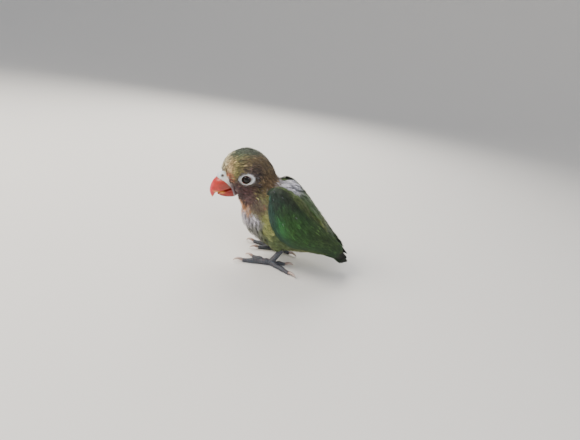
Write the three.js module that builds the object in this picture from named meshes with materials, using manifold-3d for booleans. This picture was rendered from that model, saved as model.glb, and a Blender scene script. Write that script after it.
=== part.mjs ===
// A young eye-ringed lovebird, about four to five weeks old, standing on a flat floor with its
// wings folded and its head drawn in. Life size, in millimetres.
// +Z is up, the bird faces -Y, and its left side is towards +X.
import * as THREE from "three";
import { mergeVertices } from "three/addons/utils/BufferGeometryUtils.js";
import Module from "manifold-3d";

const wasm = await Module();
wasm.setup();

// Driving sizes
const GAP = 0.3; // clearance between neighbouring pieces
const RAD = Math.PI / 180;
const HEAD_CENTRE = [0, -21.5, 40];
const VANE_THICK = 0.5;
const EYE_RADIUS = 3.1;
const FOOT_OUT = 9.5; // from the middle plane to each foot
const FOOT_Y = -4;
const TARSUS_RADIUS = 1.45;

const v3 = (x, y, z) => new THREE.Vector3(x, y, z);
const mix = (a, b, t) => a + (b - a) * t;

// Solids and cuts

// A closed three.js geometry as a solid.
function solidOf(geometry) {
  const bare = geometry.clone();
  bare.deleteAttribute("normal");
  bare.deleteAttribute("uv");
  const merged = mergeVertices(bare, 1e-4);
  return new wasm.Manifold(
    new wasm.Mesh({
      numProp: 3,
      vertProperties: new Float32Array(merged.attributes.position.array),
      triVerts: new Uint32Array(merged.index.array),
    }),
  );
}

// The largest closed surface of a solid, which drops any loose scrap.
function largest(solid) {
  const pieces = solid.decompose();
  return pieces.reduce((a, b) => (b.volume() > a.volume() ? b : a));
}

function meshOf(name, solid, material) {
  const m = largest(solid).getMesh();
  const positions = new Float32Array(m.numVert * 3);
  for (let i = 0; i < m.numVert; i++)
    positions.set(m.vertProperties.subarray(i * m.numProp, i * m.numProp + 3), i * 3);
  const geometry = new THREE.BufferGeometry()
    .setAttribute("position", new THREE.BufferAttribute(positions, 3))
    .setIndex(new THREE.BufferAttribute(new Uint32Array(m.triVerts), 1));
  geometry.computeVertexNormals();
  const mesh = new THREE.Mesh(geometry, material);
  mesh.name = name;
  return mesh;
}

// The same solid on the bird's other side.
const mirrored = (solid) => solid.mirror([1, 0, 0]);

// A closed body through rings of points, with a fan over each end.
function loft(rings) {
  const sides = rings[0].length;
  const points = rings.flat();
  const faces = [];
  for (let i = 0; i + 1 < rings.length; i++)
    for (let j = 0; j < sides; j++) {
      const a = i * sides + j;
      const b = i * sides + ((j + 1) % sides);
      faces.push(a, b, b + sides, a, b + sides, a + sides);
    }
  const ends = [rings[0], rings[rings.length - 1]];
  ends.forEach((ring, end) => {
    const centre = ring.reduce((sum, p) => sum.add(p), v3(0, 0, 0)).divideScalar(sides);
    const hub = points.push(centre) - 1;
    const start = end * (rings.length - 1) * sides;
    for (let j = 0; j < sides; j++) {
      const a = start + j;
      const b = start + ((j + 1) % sides);
      faces.push(...(end ? [a, b, hub] : [b, a, hub]));
    }
  });
  const geometry = new THREE.BufferGeometry().setFromPoints(points).setIndex(faces);
  const solid = solidOf(geometry);
  return solid.volume() > 0 ? solid : solidOf(geometry.setIndex(faces.reverse()));
}

// A closed plate between two grids of points of the same size, split alike on both faces.
function plate(top, bottom) {
  const rows = top.length;
  const columns = top[0].length;
  const points = [...top.flat(), ...bottom.flat()];
  const under = rows * columns;
  const faces = [];
  const quad = (a, b, c, d) => faces.push(a, b, c, a, c, d);
  for (let i = 0; i + 1 < rows; i++)
    for (let j = 0; j + 1 < columns; j++) {
      const a = i * columns + j;
      const b = a + 1;
      const c = b + columns;
      const d = a + columns;
      quad(a, b, c, d);
      faces.push(under + a, under + c, under + b, under + a, under + d, under + c);
    }
  const rim = [];
  for (let j = 0; j + 1 < columns; j++) rim.push(j);
  for (let i = 0; i + 1 < rows; i++) rim.push(i * columns + columns - 1);
  for (let j = columns - 1; j > 0; j--) rim.push((rows - 1) * columns + j);
  for (let i = rows - 1; i > 0; i--) rim.push(i * columns);
  rim.forEach((a, n) => {
    const b = rim[(n + 1) % rim.length];
    quad(b, a, under + a, under + b);
  });
  const geometry = new THREE.BufferGeometry().setFromPoints(points).setIndex(faces);
  const solid = solidOf(geometry);
  return solid.volume() > 0 ? solid : solidOf(geometry.setIndex(faces.reverse()));
}

// A round limb along points, with a radius at each point and its rings square to the run.
function limb(points, radii, sides, steps, grow = 0) {
  const run = new THREE.CatmullRomCurve3(points);
  const sizes = new THREE.CatmullRomCurve3(radii.map((r) => v3(r, 0, 0)));
  const rings = [];
  for (let i = 0; i <= steps; i++) {
    const centre = run.getPoint(i / steps);
    const ahead = run.getTangent(i / steps);
    if (i === 0) centre.addScaledVector(ahead, -grow);
    if (i === steps) centre.addScaledVector(ahead, grow);
    const side = v3(1, 0, 0).cross(ahead).length() < 0.2 ? v3(0, 1, 0) : v3(1, 0, 0);
    const u = side.clone().cross(ahead).normalize();
    const w = ahead.clone().cross(u);
    const r = sizes.getPoint(i / steps).x + grow;
    rings.push(
      Array.from({ length: sides }, (_, j) => {
        const turn = (j / sides) * 2 * Math.PI;
        return centre
          .clone()
          .addScaledVector(u, r * Math.cos(turn))
          .addScaledVector(w, r * Math.sin(turn));
      }),
    );
  }
  return loft(rings);
}

function ellipsoid(centre, radii, segments, grow = 0) {
  const ball = new THREE.SphereGeometry(1, segments, Math.round(segments * 0.6));
  ball.scale(radii[0] + grow, radii[1] + grow, radii[2] + grow);
  return solidOf(ball.translate(...centre));
}

// Body: rings from back to belly, whose back and belly points lie in the middle plane
const BODY = [
  { back: [-24, 44], belly: [-22, 30], half: 6 },
  { back: [-11, 42], belly: [-23.4, 23], half: 12.4 },
  { back: [-4, 39.9], belly: [-21.6, 16.6], half: 14.8 },
  { back: [1.9, 36.3], belly: [-16, 11.2], half: 16.2 },
  { back: [8, 31.5], belly: [-8.4, 8.2], half: 16.4 },
  { back: [13.5, 26.3], belly: [0, 7.2], half: 14.8 },
  { back: [18.1, 21.3], belly: [8, 7.4], half: 11.8 },
  { back: [21.5, 17.3], belly: [14, 8], half: 8.4 },
  { back: [23.9, 14.6], belly: [18.6, 8.7], half: 5.6 },
  { back: [25.2, 12.8], belly: [21.6, 9.5], half: 3.8 },
];
const BODY_SIDES = 26;
const BODY_STEPS = 18;

// A curve through numbers, read at a share of its length in stations.
const through = (values) => {
  const curve = new THREE.CatmullRomCurve3(values.map((n) => v3(n[0], n[1] ?? 0, n[2] ?? 0)));
  return (share) => curve.getPoint(share);
};

const bodyBack = through(BODY.map((s) => s.back));
const bodyBelly = through(BODY.map((s) => s.belly));
const bodyHalf = through(BODY.map((s) => [s.half]));

function bodySolid(grow) {
  const rings = [];
  for (let i = 0; i <= BODY_STEPS; i++) {
    const share = i / BODY_STEPS;
    const back = bodyBack(share);
    const belly = bodyBelly(share);
    const centre = v3(0, (back.x + belly.x) / 2, (back.y + belly.y) / 2);
    const up = v3(0, back.x - belly.x, back.y - belly.y);
    const depth = up.length() / 2 + grow;
    up.normalize();
    const half = bodyHalf(share).x + grow;
    const ahead = v3(0, up.z, -up.y);
    if (i === BODY_STEPS) centre.addScaledVector(ahead, grow);
    rings.push(
      Array.from({ length: BODY_SIDES }, (_, j) => {
        const turn = (j / BODY_SIDES) * 2 * Math.PI;
        return v3(half * Math.sin(turn), centre.y, centre.z).addScaledVector(
          up,
          depth * Math.cos(turn),
        );
      }),
    );
  }
  return loft(rings);
}

const body = bodySolid(0);
const bodyGrown = bodySolid(GAP);

// Head, in its own frame: forward is -Y, and each ring is an upright oval
const HEAD = [
  { forward: -12.6, middle: -1, half: 2.2, up: 2, down: 2.4 },
  { forward: -11.7, middle: -1, half: 5, up: 4.4, down: 5.6 },
  { forward: -9.6, middle: -0.6, half: 8.2, up: 6.8, down: 9.4 },
  { forward: -6.2, middle: -0.2, half: 10.8, up: 9.7, down: 12 },
  { forward: -2.2, middle: 0, half: 12.1, up: 11.8, down: 13.2 },
  { forward: 1.8, middle: 0, half: 12.2, up: 12.6, down: 13.6 },
  { forward: 4, middle: 0, half: 11.8, up: 12.5, down: 11.6 },
  { forward: 6, middle: -0.2, half: 11.1, up: 12, down: 8.2 },
  { forward: 9, middle: -0.6, half: 8.9, up: 11, down: 6.2 },
  { forward: 11.6, middle: -1.2, half: 6.8, up: 9.6, down: 5 },
  { forward: 13.4, middle: -2, half: 5.3, up: 7.9, down: 3.7 },
  { forward: 14.6, middle: -2.8, half: 3.9, up: 5.6, down: 2.6 },
  { forward: 15.2, middle: -3.2, half: 2.6, up: 3.2, down: 1.8 },
];
const HEAD_SIDES = 24;
const HEAD_STEPS = 18;

function headSolid(grow) {
  const middle = through(HEAD.map((s) => [s.forward, s.middle]));
  const reach = through(HEAD.map((s) => [s.half, s.up, s.down]));
  const rings = [];
  for (let i = 0; i <= HEAD_STEPS; i++) {
    const share = i / HEAD_STEPS;
    const at = middle(share);
    const size = reach(share);
    const push = i === 0 ? -grow : i === HEAD_STEPS ? grow : 0;
    rings.push(
      Array.from({ length: HEAD_SIDES }, (_, j) => {
        const turn = (j / HEAD_SIDES) * 2 * Math.PI;
        const rise = Math.cos(turn) > 0 ? size.y + grow : size.z + grow;
        return v3(
          (size.x + grow) * Math.sin(turn),
          -(at.x + push),
          at.y + rise * Math.cos(turn),
        );
      }),
    );
  }
  return loft(rings);
}

// Bill: ovals set between an outer line and an inner line of the profile, [forward, up]
const BILL_SIDES = 12;
const BILL_STEPS = 9;
const UPPER_BILL = {
  outer: [[8.6, -3], [13, -3.2], [16.6, -4.8], [18.8, -8.2], [19, -11.8], [17.4, -15]],
  inner: [[4.4, -7.2], [8.4, -9.2], [12.2, -10.7], [15.2, -11.6], [16.5, -13], [16.9, -14.7]],
  half: [5, 4.9, 4.5, 3.4, 2, 0.45],
};
const LOWER_BILL = {
  outer: [[3.6, -11.8], [7.4, -12.5], [11.4, -12.8], [15, -12.2]],
  inner: [[3.8, -6.6], [7.6, -7.8], [11.2, -9.4], [14.6, -10.9]],
  half: [4.6, 4.5, 3.8, 1.8],
};

function billSolid(form, grow) {
  const outer = through(form.outer);
  const inner = through(form.inner);
  const width = through(form.half.map((n) => [n]));
  const rings = [];
  for (let i = 0; i <= BILL_STEPS; i++) {
    const share = i / BILL_STEPS;
    const o = outer(share);
    const n = inner(share);
    const across = v3(0, -(o.x - n.x), o.y - n.y);
    const depth = across.length() / 2 + grow;
    across.normalize();
    const centre = v3(0, -(o.x + n.x) / 2, (o.y + n.y) / 2);
    const half = width(share).x + grow;
    rings.push(
      Array.from({ length: BILL_SIDES }, (_, j) => {
        const turn = (j / BILL_SIDES) * 2 * Math.PI;
        return centre
          .clone()
          .addScaledVector(across, depth * Math.cos(turn))
          .add(v3(half * Math.sin(turn), 0, 0));
      }),
    );
  }
  return loft(rings);
}

// Cere: a saddle of bare skin over the root of the bill, swollen round each nostril
const CERE_SADDLE = { centre: [0, -13.7, -3], radii: [4.6, 3.4, 2.3] };
const CERE_LOBE = { centre: [4, -12.5, -2.6], radii: [2.5, 2.7, 2.2] };
const NOSTRIL = { centre: [6.1, -13.1, -2.2], radii: [1.3, 0.65, 0.65] };

function cereSolid(grow) {
  const [x, y, z] = CERE_LOBE.centre;
  return [1, -1]
    .map((s) => ellipsoid([s * x, y, z], CERE_LOBE.radii, 9, grow))
    .reduce((sum, lobe) => sum.add(lobe), ellipsoid(CERE_SADDLE.centre, CERE_SADDLE.radii, 12, grow));
}

// Eyes: a ball behind a ring of bare skin whose inner rim is the lids
const EYE_PLACE = [12, 1.8, 0.6];
const EYE_OUT = v3(0.98, -0.12, 0.12).normalize();
const EYE_RISE = 15 * RAD; // the eye's rear corner stands higher than its front one
const EYE_DEPTH = 2.4; // the ball's centre, behind the head's surface
const RING_OVAL = 0.62; // height over length
const RING_PROFILE = [
  [2.5, -1.5],
  [2.5, 0.35],
  [2.9, 0.75],
  [3.7, 0.5],
  [4.5, -0.1],
  [4.4, -1.5],
];
const SOCKET_DEPTH = 1.8;

// Turns a form made round +Y so that it looks out of the left eye's place.
function atEye(geometry) {
  const out = EYE_OUT;
  const ahead = v3(0, -Math.cos(EYE_RISE), -Math.sin(EYE_RISE));
  const along = ahead.addScaledVector(out, -ahead.dot(out)).normalize();
  const up = along.clone().cross(out);
  const place = new THREE.Matrix4().makeBasis(along, out, up);
  place.setPosition(...EYE_PLACE);
  return solidOf(geometry.applyMatrix4(place));
}

const eyeBall = (grow) =>
  atEye(new THREE.SphereGeometry(EYE_RADIUS + grow, 14, 9).translate(0, -EYE_DEPTH, 0));

function ringSolid() {
  const profile = [...RING_PROFILE, RING_PROFILE[0]].reverse().map(([r, h]) => new THREE.Vector2(r, h));
  const ring = new THREE.LatheGeometry(profile, 16);
  return atEye(ring.scale(1, 1, RING_OVAL)).subtract(eyeBall(GAP));
}

function socketSolid() {
  const outer = RING_PROFILE[4][0] + GAP;
  const profile = [[0, -SOCKET_DEPTH], [outer, -SOCKET_DEPTH], [outer, 4], [0, 4]];
  const plug = new THREE.LatheGeometry(profile.map(([r, h]) => new THREE.Vector2(r, h)), 16);
  return atEye(plug.scale(1, 1, RING_OVAL)).add(eyeBall(GAP));
}

// Wing: a shell over the body's side. Each station is an oval round a centre in the middle
// plane, and the wing covers it from its top angle to its low angle, counted from the back.
const WING = [
  { centre: [-13, 30.5], out: 14.6, up: 16.3, top: 47, low: 62 },
  { centre: [-9.8, 28.3], out: 16.6, up: 16.7, top: 35, low: 76 },
  { centre: [-5.8, 25.4], out: 17.9, up: 16.3, top: 28, low: 88 },
  { centre: [-0.9, 22.3], out: 18.4, up: 15.1, top: 22, low: 98 },
  { centre: [5, 19.3], out: 17.8, up: 12.8, top: 16, low: 107 },
  { centre: [11, 16.8], out: 15.4, up: 10, top: 11, low: 107 },
  { centre: [16.1, 14.8], out: 12.4, up: 7.5, top: 8, low: 103 },
  { centre: [20.5, 13], out: 9.6, up: 5.6, top: 7, low: 98 },
  { centre: [24.5, 11.2], out: 7.3, up: 4.2, top: 7, low: 94 },
  { centre: [27.6, 9.7], out: 5.4, up: 3.1, top: 8, low: 90 },
  { centre: [29.6, 8.7], out: 4, up: 2.2, top: 12, low: 86 },
];
const WING_LAST = WING.length - 1;
const wingCentre = through(WING.map((s) => s.centre));
const wingSize = through(WING.map((s) => [s.out, s.up]));
const wingReach = through(WING.map((s) => [s.top * RAD, s.low * RAD]));
const WING_EDGE_DROP = 1.6; // how far the shell sinks at the wing's rims

// A point of the left wing: station runs from the bend to the tip, across from the top edge,
// at 0, to the lower edge, at 1, and lift is the height over the shell.
function wingPoint(station, across, lift) {
  const share = THREE.MathUtils.clamp(station / WING_LAST, 0, 1);
  const centre = wingCentre(share);
  const size = wingSize(share);
  const reach = wingReach(share);
  const turn = mix(reach.x, reach.y, across);
  const ahead = wingCentre(Math.min(1, share + 0.02)).sub(wingCentre(Math.max(0, share - 0.02)));
  const up = v3(0, -ahead.y, ahead.x).normalize();
  const rim = Math.min(1, Math.abs(2 * across - 1));
  const front = Math.max(0, 1 - station);
  const drop = WING_EDGE_DROP * Math.max(rim ** 4, front ** 2) * Math.min(1, size.x / 18);
  const height = lift - drop;
  return v3((size.x + height) * Math.sin(turn), centre.x, centre.y).addScaledVector(
    up,
    (size.y + height) * Math.cos(turn),
  );
}

// The wing's core runs from the shell down into the body, which then cuts it.
const CORE_STEPS = 8;
const CORE_COLUMNS = 5;
const CORE_LOW = 0.35; // the core's top lies this far under the shell
const CORE_END = 7.4; // the last station that the core reaches
const CORE_DEPTH = [5, 1.3]; // how deep the core's underside lies, at the bend and near the tip
const CORE_THINS = [4, 7]; // between these stations it thins from the one to the other

function wingCore() {
  const grid = (depthAt) =>
    Array.from({ length: CORE_STEPS + 1 }, (_, i) =>
      Array.from({ length: CORE_COLUMNS }, (_, j) => {
        const station = (i / CORE_STEPS) * CORE_END;
        return wingPoint(station, j / (CORE_COLUMNS - 1), -depthAt(station));
      }),
    );
  const depth = (station) =>
    mix(...CORE_DEPTH, THREE.MathUtils.smoothstep(station, ...CORE_THINS));
  return plate(grid(() => CORE_LOW), grid(depth));
}

// A vane: a leaf-shaped plate along a quill line on a surface, rounded at its end
const VANE_OUTLINE = [
  [0, 0.55],
  [0.4, 1],
  [0.8, 0.86],
  [1, 0.2],
];

// surface(station, across, lift) gives a point; root and tip are [station, across, lift].
// tilt lowers the side towards the wing's lower edge, and bow drops both edges.
function vane(surface, root, tip, width, tilt, bow) {
  const at = (share, lift) =>
    surface(mix(root[0], tip[0], share), mix(root[1], tip[1], share), lift);
  const top = [];
  const bottom = [];
  for (const [share, wide] of VANE_OUTLINE) {
    const lift = mix(root[2], tip[2], Math.sqrt(share));
    const quill = at(share, lift);
    const out = at(share, lift + 1).sub(quill).normalize();
    const ahead = at(Math.min(1, share + 0.1), lift).sub(at(Math.max(0, share - 0.1), lift));
    const side = ahead.cross(out).normalize();
    const half = (width / 2) * wide;
    const across = [-half, 0, half].map((reach) =>
      quill
        .clone()
        .addScaledVector(side, reach)
        .addScaledVector(out, (-tilt * reach) / width - (bow * reach * reach) / (width * width)),
    );
    top.push(across.map((p) => p.clone().addScaledVector(out, VANE_THICK / 2)));
    bottom.push(across.map((p) => p.clone().addScaledVector(out, -VANE_THICK / 2)));
  }
  return plate(top, bottom);
}

// Feathers of the left wing in tiers: each row has its first and last quill, as
// [root station, root across, tip station, tip across], its count, width, and lift at the tip
const WING_ROWS = [
  { first: [4.6, 0.96, 9.9, 0.78], last: [4.2, 0.74, 7.4, 0.62], count: 5, width: 4.4, tip: 0.3 },
  { first: [4, 0.82, 7.2, 0.8], last: [3.3, 0.14, 8.2, 0.14], count: 6, width: 5, tip: 1 },
  { first: [2.9, 0.93, 5, 0.92], last: [2.5, 0.14, 5.2, 0.12], count: 5, width: 5.6, tip: 1.3 },
  { first: [1.9, 0.92, 3.5, 0.93], last: [1.7, 0.15, 3.6, 0.12], count: 5, width: 5, tip: 1.3 },
  { first: [1, 0.88, 2.3, 0.93], last: [0.9, 0.14, 2.3, 0.1], count: 4, width: 5.2, tip: 1.2 },
  { first: [0.3, 0.8, 1.4, 0.88], last: [0.3, 0.2, 1.4, 0.14], count: 3, width: 4.6, tip: 0.9 },
  { first: [1.2, 0.1, 3.9, 0.02], last: [2.6, 0.06, 5.9, 0], count: 2, width: 5, tip: 1.7 },
];
const ROOT_LIFT = -1.3; // quills start this far under the shell
const VANE_TILT = 1;
const VANE_BOW = 0.7;

function wingVanes() {
  return WING_ROWS.flatMap((row) =>
    Array.from({ length: row.count }, (_, i) => {
      const share = i / (row.count - 1);
      const q = row.first.map((n, k) => mix(n, row.last[k], share));
      const root = [q[0], q[1], ROOT_LIFT];
      return vane(wingPoint, root, [q[2], q[3], row.tip], row.width, VANE_TILT, VANE_BOW);
    }),
  );
}

// Tail: a short fan of vanes on a small wedge, with coverts over and under its root
const TAIL_ROOT = [20.8, 12.6];
const TAIL_TIP = [33, 6.2];
const TAIL_ARCH = 0.035; // how fast the fan sinks towards its sides
const TAIL_FEATHERS = { count: 6, root: 2.2, spread: 4.6, width: 4.2, bow: 0.3 };
const TAIL_STEP = { middle: 0.35, side: 0.9 }; // the middle pair lies over the outer ones
const TAIL_SHORTER = 0.1; // the outer feathers' tips stop this share earlier
const TAIL_COVERTS = { count: 4, root: 2.6, spread: 3.6, width: 3.6, bow: 0.3 };
const COVERT_LIFT = [0.6, 1.35]; // over and under the fan, at root and tip
const TAIL_WEDGE = [
  { along: -0.1, half: 4.6, thick: 2.4 },
  { along: 0.2, half: 4.6, thick: 1.8 },
  { along: 0.55, half: 4.4, thick: 0.9 },
];

// A point of the tail: along from root, 0, to tip, 1; across in millimetres.
function tailPoint(along, across, lift) {
  const run = v3(0, TAIL_TIP[0] - TAIL_ROOT[0], TAIL_TIP[1] - TAIL_ROOT[1]);
  const up = v3(0, -run.z, run.y).normalize();
  const sag = TAIL_ARCH * across * across;
  return v3(across, TAIL_ROOT[0], TAIL_ROOT[1])
    .addScaledVector(run, along)
    .addScaledVector(up, lift - sag);
}

// Shares from -1 to 1, evenly set.
const sidesOf = (count) => Array.from({ length: count }, (_, i) => (2 * i) / (count - 1) - 1);

function tailVanes() {
  const feathers = TAIL_FEATHERS;
  const fan = sidesOf(feathers.count).map((side) => {
    const lift = TAIL_STEP.middle - TAIL_STEP.side * Math.abs(side);
    const root = [0.1, side * feathers.root, lift];
    const tip = [1 - TAIL_SHORTER * side * side, side * feathers.spread, lift];
    return vane(tailPoint, root, tip, feathers.width, Math.sign(side) * feathers.bow, feathers.bow);
  });
  const coverts = [1, -1].flatMap((over) =>
    sidesOf(TAIL_COVERTS.count).map((side) => {
      const root = [-0.12, side * TAIL_COVERTS.root, over * COVERT_LIFT[0]];
      const reach = 0.61 - 0.12 * Math.abs(side);
      const tip = [reach, side * TAIL_COVERTS.spread, over * COVERT_LIFT[1]];
      return vane(tailPoint, root, tip, TAIL_COVERTS.width, 0, TAIL_COVERTS.bow);
    }),
  );
  return [...fan, ...coverts];
}

function tailCore() {
  const sides = 12;
  const rings = TAIL_WEDGE.map(({ along, half, thick }) =>
    Array.from({ length: sides }, (_, j) => {
      const turn = (j / sides) * 2 * Math.PI;
      return tailPoint(along, half * Math.sin(turn), thick * Math.cos(turn));
    }),
  );
  return loft(rings);
}

// The room that the tail keeps to itself under the wing tips.
const ROOM_ALONG = [-0.3, 0.4, 1.1];
const ROOM_ACROSS = [-7.5, -3.8, 0, 3.8, 7.5];
const ROOM_LIFT = { over: 1.7, under: -3 };

function tailRoom(grow) {
  const corners = (lift) =>
    ROOM_ALONG.map((along) => ROOM_ACROSS.map((across) => tailPoint(along, across, lift)));
  return plate(corners(ROOM_LIFT.over + grow), corners(ROOM_LIFT.under));
}

// Legs, for the bird's left side
const THIGH = [
  { at: [8.8, -6, 20], radius: 5.6 },
  { at: [9.3, -3.6, 14.5], radius: 5 },
  { at: [9.5, -1.2, 10.6], radius: 3.6 },
  { at: [9.4, 0.5, 8.4], radius: 2.3 },
];
const thighSolid = (grow) =>
  limb(THIGH.map((s) => v3(...s.at)), THIGH.map((s) => s.radius), 14, 7, grow);

const TARSUS = [
  v3(9.4, 0.7, 9.2),
  v3(FOOT_OUT, -1.4, 5.4),
  v3(FOOT_OUT, FOOT_Y + 0.3, 1.4),
];

// Two toes point forward and two back. heading is from straight ahead, outwards.
const TOES = [
  { name: "inner_front", heading: -20, length: 10, radius: 1.25 },
  { name: "outer_front", heading: 13, length: 13.5, radius: 1.35 },
  { name: "outer_back", heading: 148, length: 12, radius: 1.25 },
  { name: "inner_back", heading: 200, length: 7.5, radius: 1.15 },
];
const TOE_SHARES = [0, 0.26, 0.46, 0.58, 0.8, 1];
const TOE_SIZES = [1, 1.12, 0.84, 1, 0.78, 0.72]; // thick at the pads, thin at the joints
const CLAW_LENGTH = 4.6;
const SOLE_SINK = 0.2; // share of the toe's radius under the floor, cut off flat

function toePoint(toe, reach, height) {
  const heading = toe.heading * RAD;
  return v3(FOOT_OUT + reach * Math.sin(heading), FOOT_Y - reach * Math.cos(heading), height);
}

function toeSolid(toe) {
  const r = toe.radius;
  const low = r * (1 - SOLE_SINK);
  const points = TOE_SHARES.map((s, i) => toePoint(toe, s * toe.length, low * TOE_SIZES[i]));
  return limb(points, TOE_SIZES.map((s) => s * r), 8, 6);
}

function clawSolid(toe) {
  const start = toe.length + GAP;
  const r = toe.radius * 0.62;
  const points = [
    toePoint(toe, start, r + 0.1),
    toePoint(toe, start + CLAW_LENGTH * 0.45, r + 0.75),
    toePoint(toe, start + CLAW_LENGTH * 0.85, r + 0.1),
    toePoint(toe, start + CLAW_LENGTH, 0.35),
  ];
  return limb(points, [r, r * 0.85, r * 0.5, 0.18], 8, 5);
}

const shankSolid = (grow) =>
  limb(TARSUS, [1, 1, 1.1].map((share) => share * TARSUS_RADIUS), 8, 4, grow);

function footSolid() {
  const pad = ellipsoid([FOOT_OUT, FOOT_Y, 1.2], [2.3, 2.3, 1.7], 8);
  return TOES.map(toeSolid).reduce((sum, toe) => sum.add(toe), pad.add(shankSolid(0)));
}

// Materials
const coat = (color, roughness = 0.85) =>
  new THREE.MeshStandardMaterial({ color, roughness, metalness: 0 });
const paint = {
  head: coat(0x4f4636),
  neck: coat(0x6b5a38),
  torso: coat(0x6f7a45),
  wing: coat(0x2f5c2b),
  tail: coat(0x27402a),
  thigh: coat(0x4d6a3b),
  ring: coat(0xc9cdc9, 0.6),
  cere: coat(0xd8dcd6, 0.55),
  eye: coat(0x120d0c, 0.08),
  bill: coat(0xd3392b, 0.3),
  foot: coat(0x55585c, 0.6),
  claw: coat(0xb49a8c, 0.35),
};

// Putting the bird together
const bird = new THREE.Group();
const headGroup = new THREE.Group();
headGroup.position.set(...HEAD_CENTRE);
headGroup.updateMatrix();
bird.add(headGroup);
const inBird = (solid) => solid.transform(headGroup.matrix.elements);

const upperBill = billSolid(UPPER_BILL, 0);
const upperGrown = billSolid(UPPER_BILL, GAP);
const lowerBill = billSolid(LOWER_BILL, 0).subtract(upperGrown);
const sockets = socketSolid();
const ring = ringSolid();
const nostril = ellipsoid(NOSTRIL.centre, NOSTRIL.radii, 8);
const cere = cereSolid(0)
  .subtract(upperGrown)
  .subtract(nostril)
  .subtract(mirrored(nostril));
const headWhole = headSolid(0);
const head = headWhole
  .subtract(upperGrown)
  .subtract(billSolid(LOWER_BILL, GAP))
  .subtract(cereSolid(GAP))
  .subtract(sockets)
  .subtract(mirrored(sockets));
const headGrown = inBird(headSolid(GAP));

headGroup.add(
  meshOf("head", head, paint.head),
  meshOf("cere", cere, paint.cere),
  meshOf("bill_upper", upperBill, paint.bill),
  meshOf("bill_lower", lowerBill, paint.bill),
  meshOf("eye_left", eyeBall(0), paint.eye),
  meshOf("eye_right", mirrored(eyeBall(0)), paint.eye),
  meshOf("eye_ring_left", ring, paint.ring),
  meshOf("eye_ring_right", mirrored(ring), paint.ring),
);

// The neck is parted from the torso across the body's run, in front of the shoulders.
const NECK_CUT = { at: [-14, 31], ahead: [0.62, -0.785] };
const cutNormal = [0, ...NECK_CUT.ahead];
const cutOffset = NECK_CUT.at[0] * NECK_CUT.ahead[0] + NECK_CUT.at[1] * NECK_CUT.ahead[1];
const neck = body
  .trimByPlane(cutNormal.map((n) => -n), -cutOffset)
  .subtract(headGrown);
const torso = body.trimByPlane(cutNormal, cutOffset + GAP).subtract(headGrown);

const tail = wasm.Manifold.union([tailCore(), ...tailVanes()]).subtract(bodyGrown);
const leftWing = wasm.Manifold.union([wingCore(), ...wingVanes()])
  .subtract(bodyGrown)
  .subtract(tailRoom(GAP))
  .subtract(thighSolid(GAP))
  .trimByPlane([1, 0, 0], GAP / 2);

bird.add(
  meshOf("neck", neck, paint.neck),
  meshOf("torso", torso, paint.torso),
  meshOf("tail", tail, paint.tail),
);

const foot = footSolid().trimByPlane([0, 0, 1], 0);
const thigh = thighSolid(0).subtract(bodyGrown).subtract(shankSolid(GAP));

for (const [side, turned] of [["left", (s) => s], ["right", mirrored]]) {
  bird.add(
    meshOf(`wing_${side}`, turned(leftWing).subtract(headGrown), paint.wing),
    meshOf(`thigh_${side}`, turned(thigh), paint.thigh),
    meshOf(`foot_${side}`, turned(foot.subtract(bodyGrown)), paint.foot),
  );
  for (const toe of TOES)
    bird.add(meshOf(`claw_${side}_${toe.name}`, turned(clawSolid(toe)), paint.claw));
}

// The origin is on the floor, under the middle of the bird's box.
bird.updateMatrixWorld(true);
const box = new THREE.Box3().setFromObject(bird, true);
bird.position.set(-(box.min.x + box.max.x) / 2, -(box.min.y + box.max.y) / 2, -box.min.z);

export default bird;
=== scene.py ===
import math

import bpy
import numpy as np
from mathutils import Matrix, Vector
from mathutils.bvhtree import BVHTree
from mathutils.kdtree import KDTree


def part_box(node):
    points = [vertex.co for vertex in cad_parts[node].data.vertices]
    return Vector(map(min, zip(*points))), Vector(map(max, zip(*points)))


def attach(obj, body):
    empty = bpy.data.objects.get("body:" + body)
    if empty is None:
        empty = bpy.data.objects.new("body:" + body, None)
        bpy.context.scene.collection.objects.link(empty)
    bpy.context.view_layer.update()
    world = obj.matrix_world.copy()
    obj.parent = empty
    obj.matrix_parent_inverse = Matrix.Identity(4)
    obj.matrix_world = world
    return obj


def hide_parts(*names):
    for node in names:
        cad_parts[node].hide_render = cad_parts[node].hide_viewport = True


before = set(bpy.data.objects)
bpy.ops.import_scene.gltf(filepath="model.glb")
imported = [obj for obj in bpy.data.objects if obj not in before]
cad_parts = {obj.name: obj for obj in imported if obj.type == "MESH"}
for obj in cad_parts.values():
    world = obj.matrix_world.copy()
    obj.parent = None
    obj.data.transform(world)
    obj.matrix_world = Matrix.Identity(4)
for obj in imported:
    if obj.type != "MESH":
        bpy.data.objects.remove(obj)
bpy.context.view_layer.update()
MM = 0.001

# Camera
# A phone held above the bird and a little in front of its left wing, leaning to one side,
# which turns the picture clockwise.
AIM = Vector((0, 4.9, 21.4)) * MM
DISTANCE = 220.8 * MM
AZIMUTH = math.radians(95)
ELEVATION = math.radians(20)
ROLL = math.radians(10)
PICTURE_WIDTH = 580
FOCAL_PIXELS = 450
SENSOR = 36

flat = math.cos(ELEVATION)
back = Vector((math.sin(AZIMUTH) * flat, -math.cos(AZIMUTH) * flat, math.sin(ELEVATION)))
level = Vector((math.cos(AZIMUTH), math.sin(AZIMUTH), 0))
upright = back.cross(level)
right = level * math.cos(ROLL) + upright * math.sin(ROLL)
up = upright * math.cos(ROLL) - level * math.sin(ROLL)
camera = bpy.data.objects.new("camera", bpy.data.cameras.new("camera"))
camera.data.sensor_width = SENSOR
camera.data.lens = SENSOR * FOCAL_PIXELS / PICTURE_WIDTH
camera.data.clip_start = 10 * MM
camera.matrix_world = Matrix((right, up, back)).transposed().to_4x4()
camera.matrix_world.translation = AIM + back * DISTANCE
bpy.context.scene.collection.objects.link(camera)
bpy.context.scene.camera = camera

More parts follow.
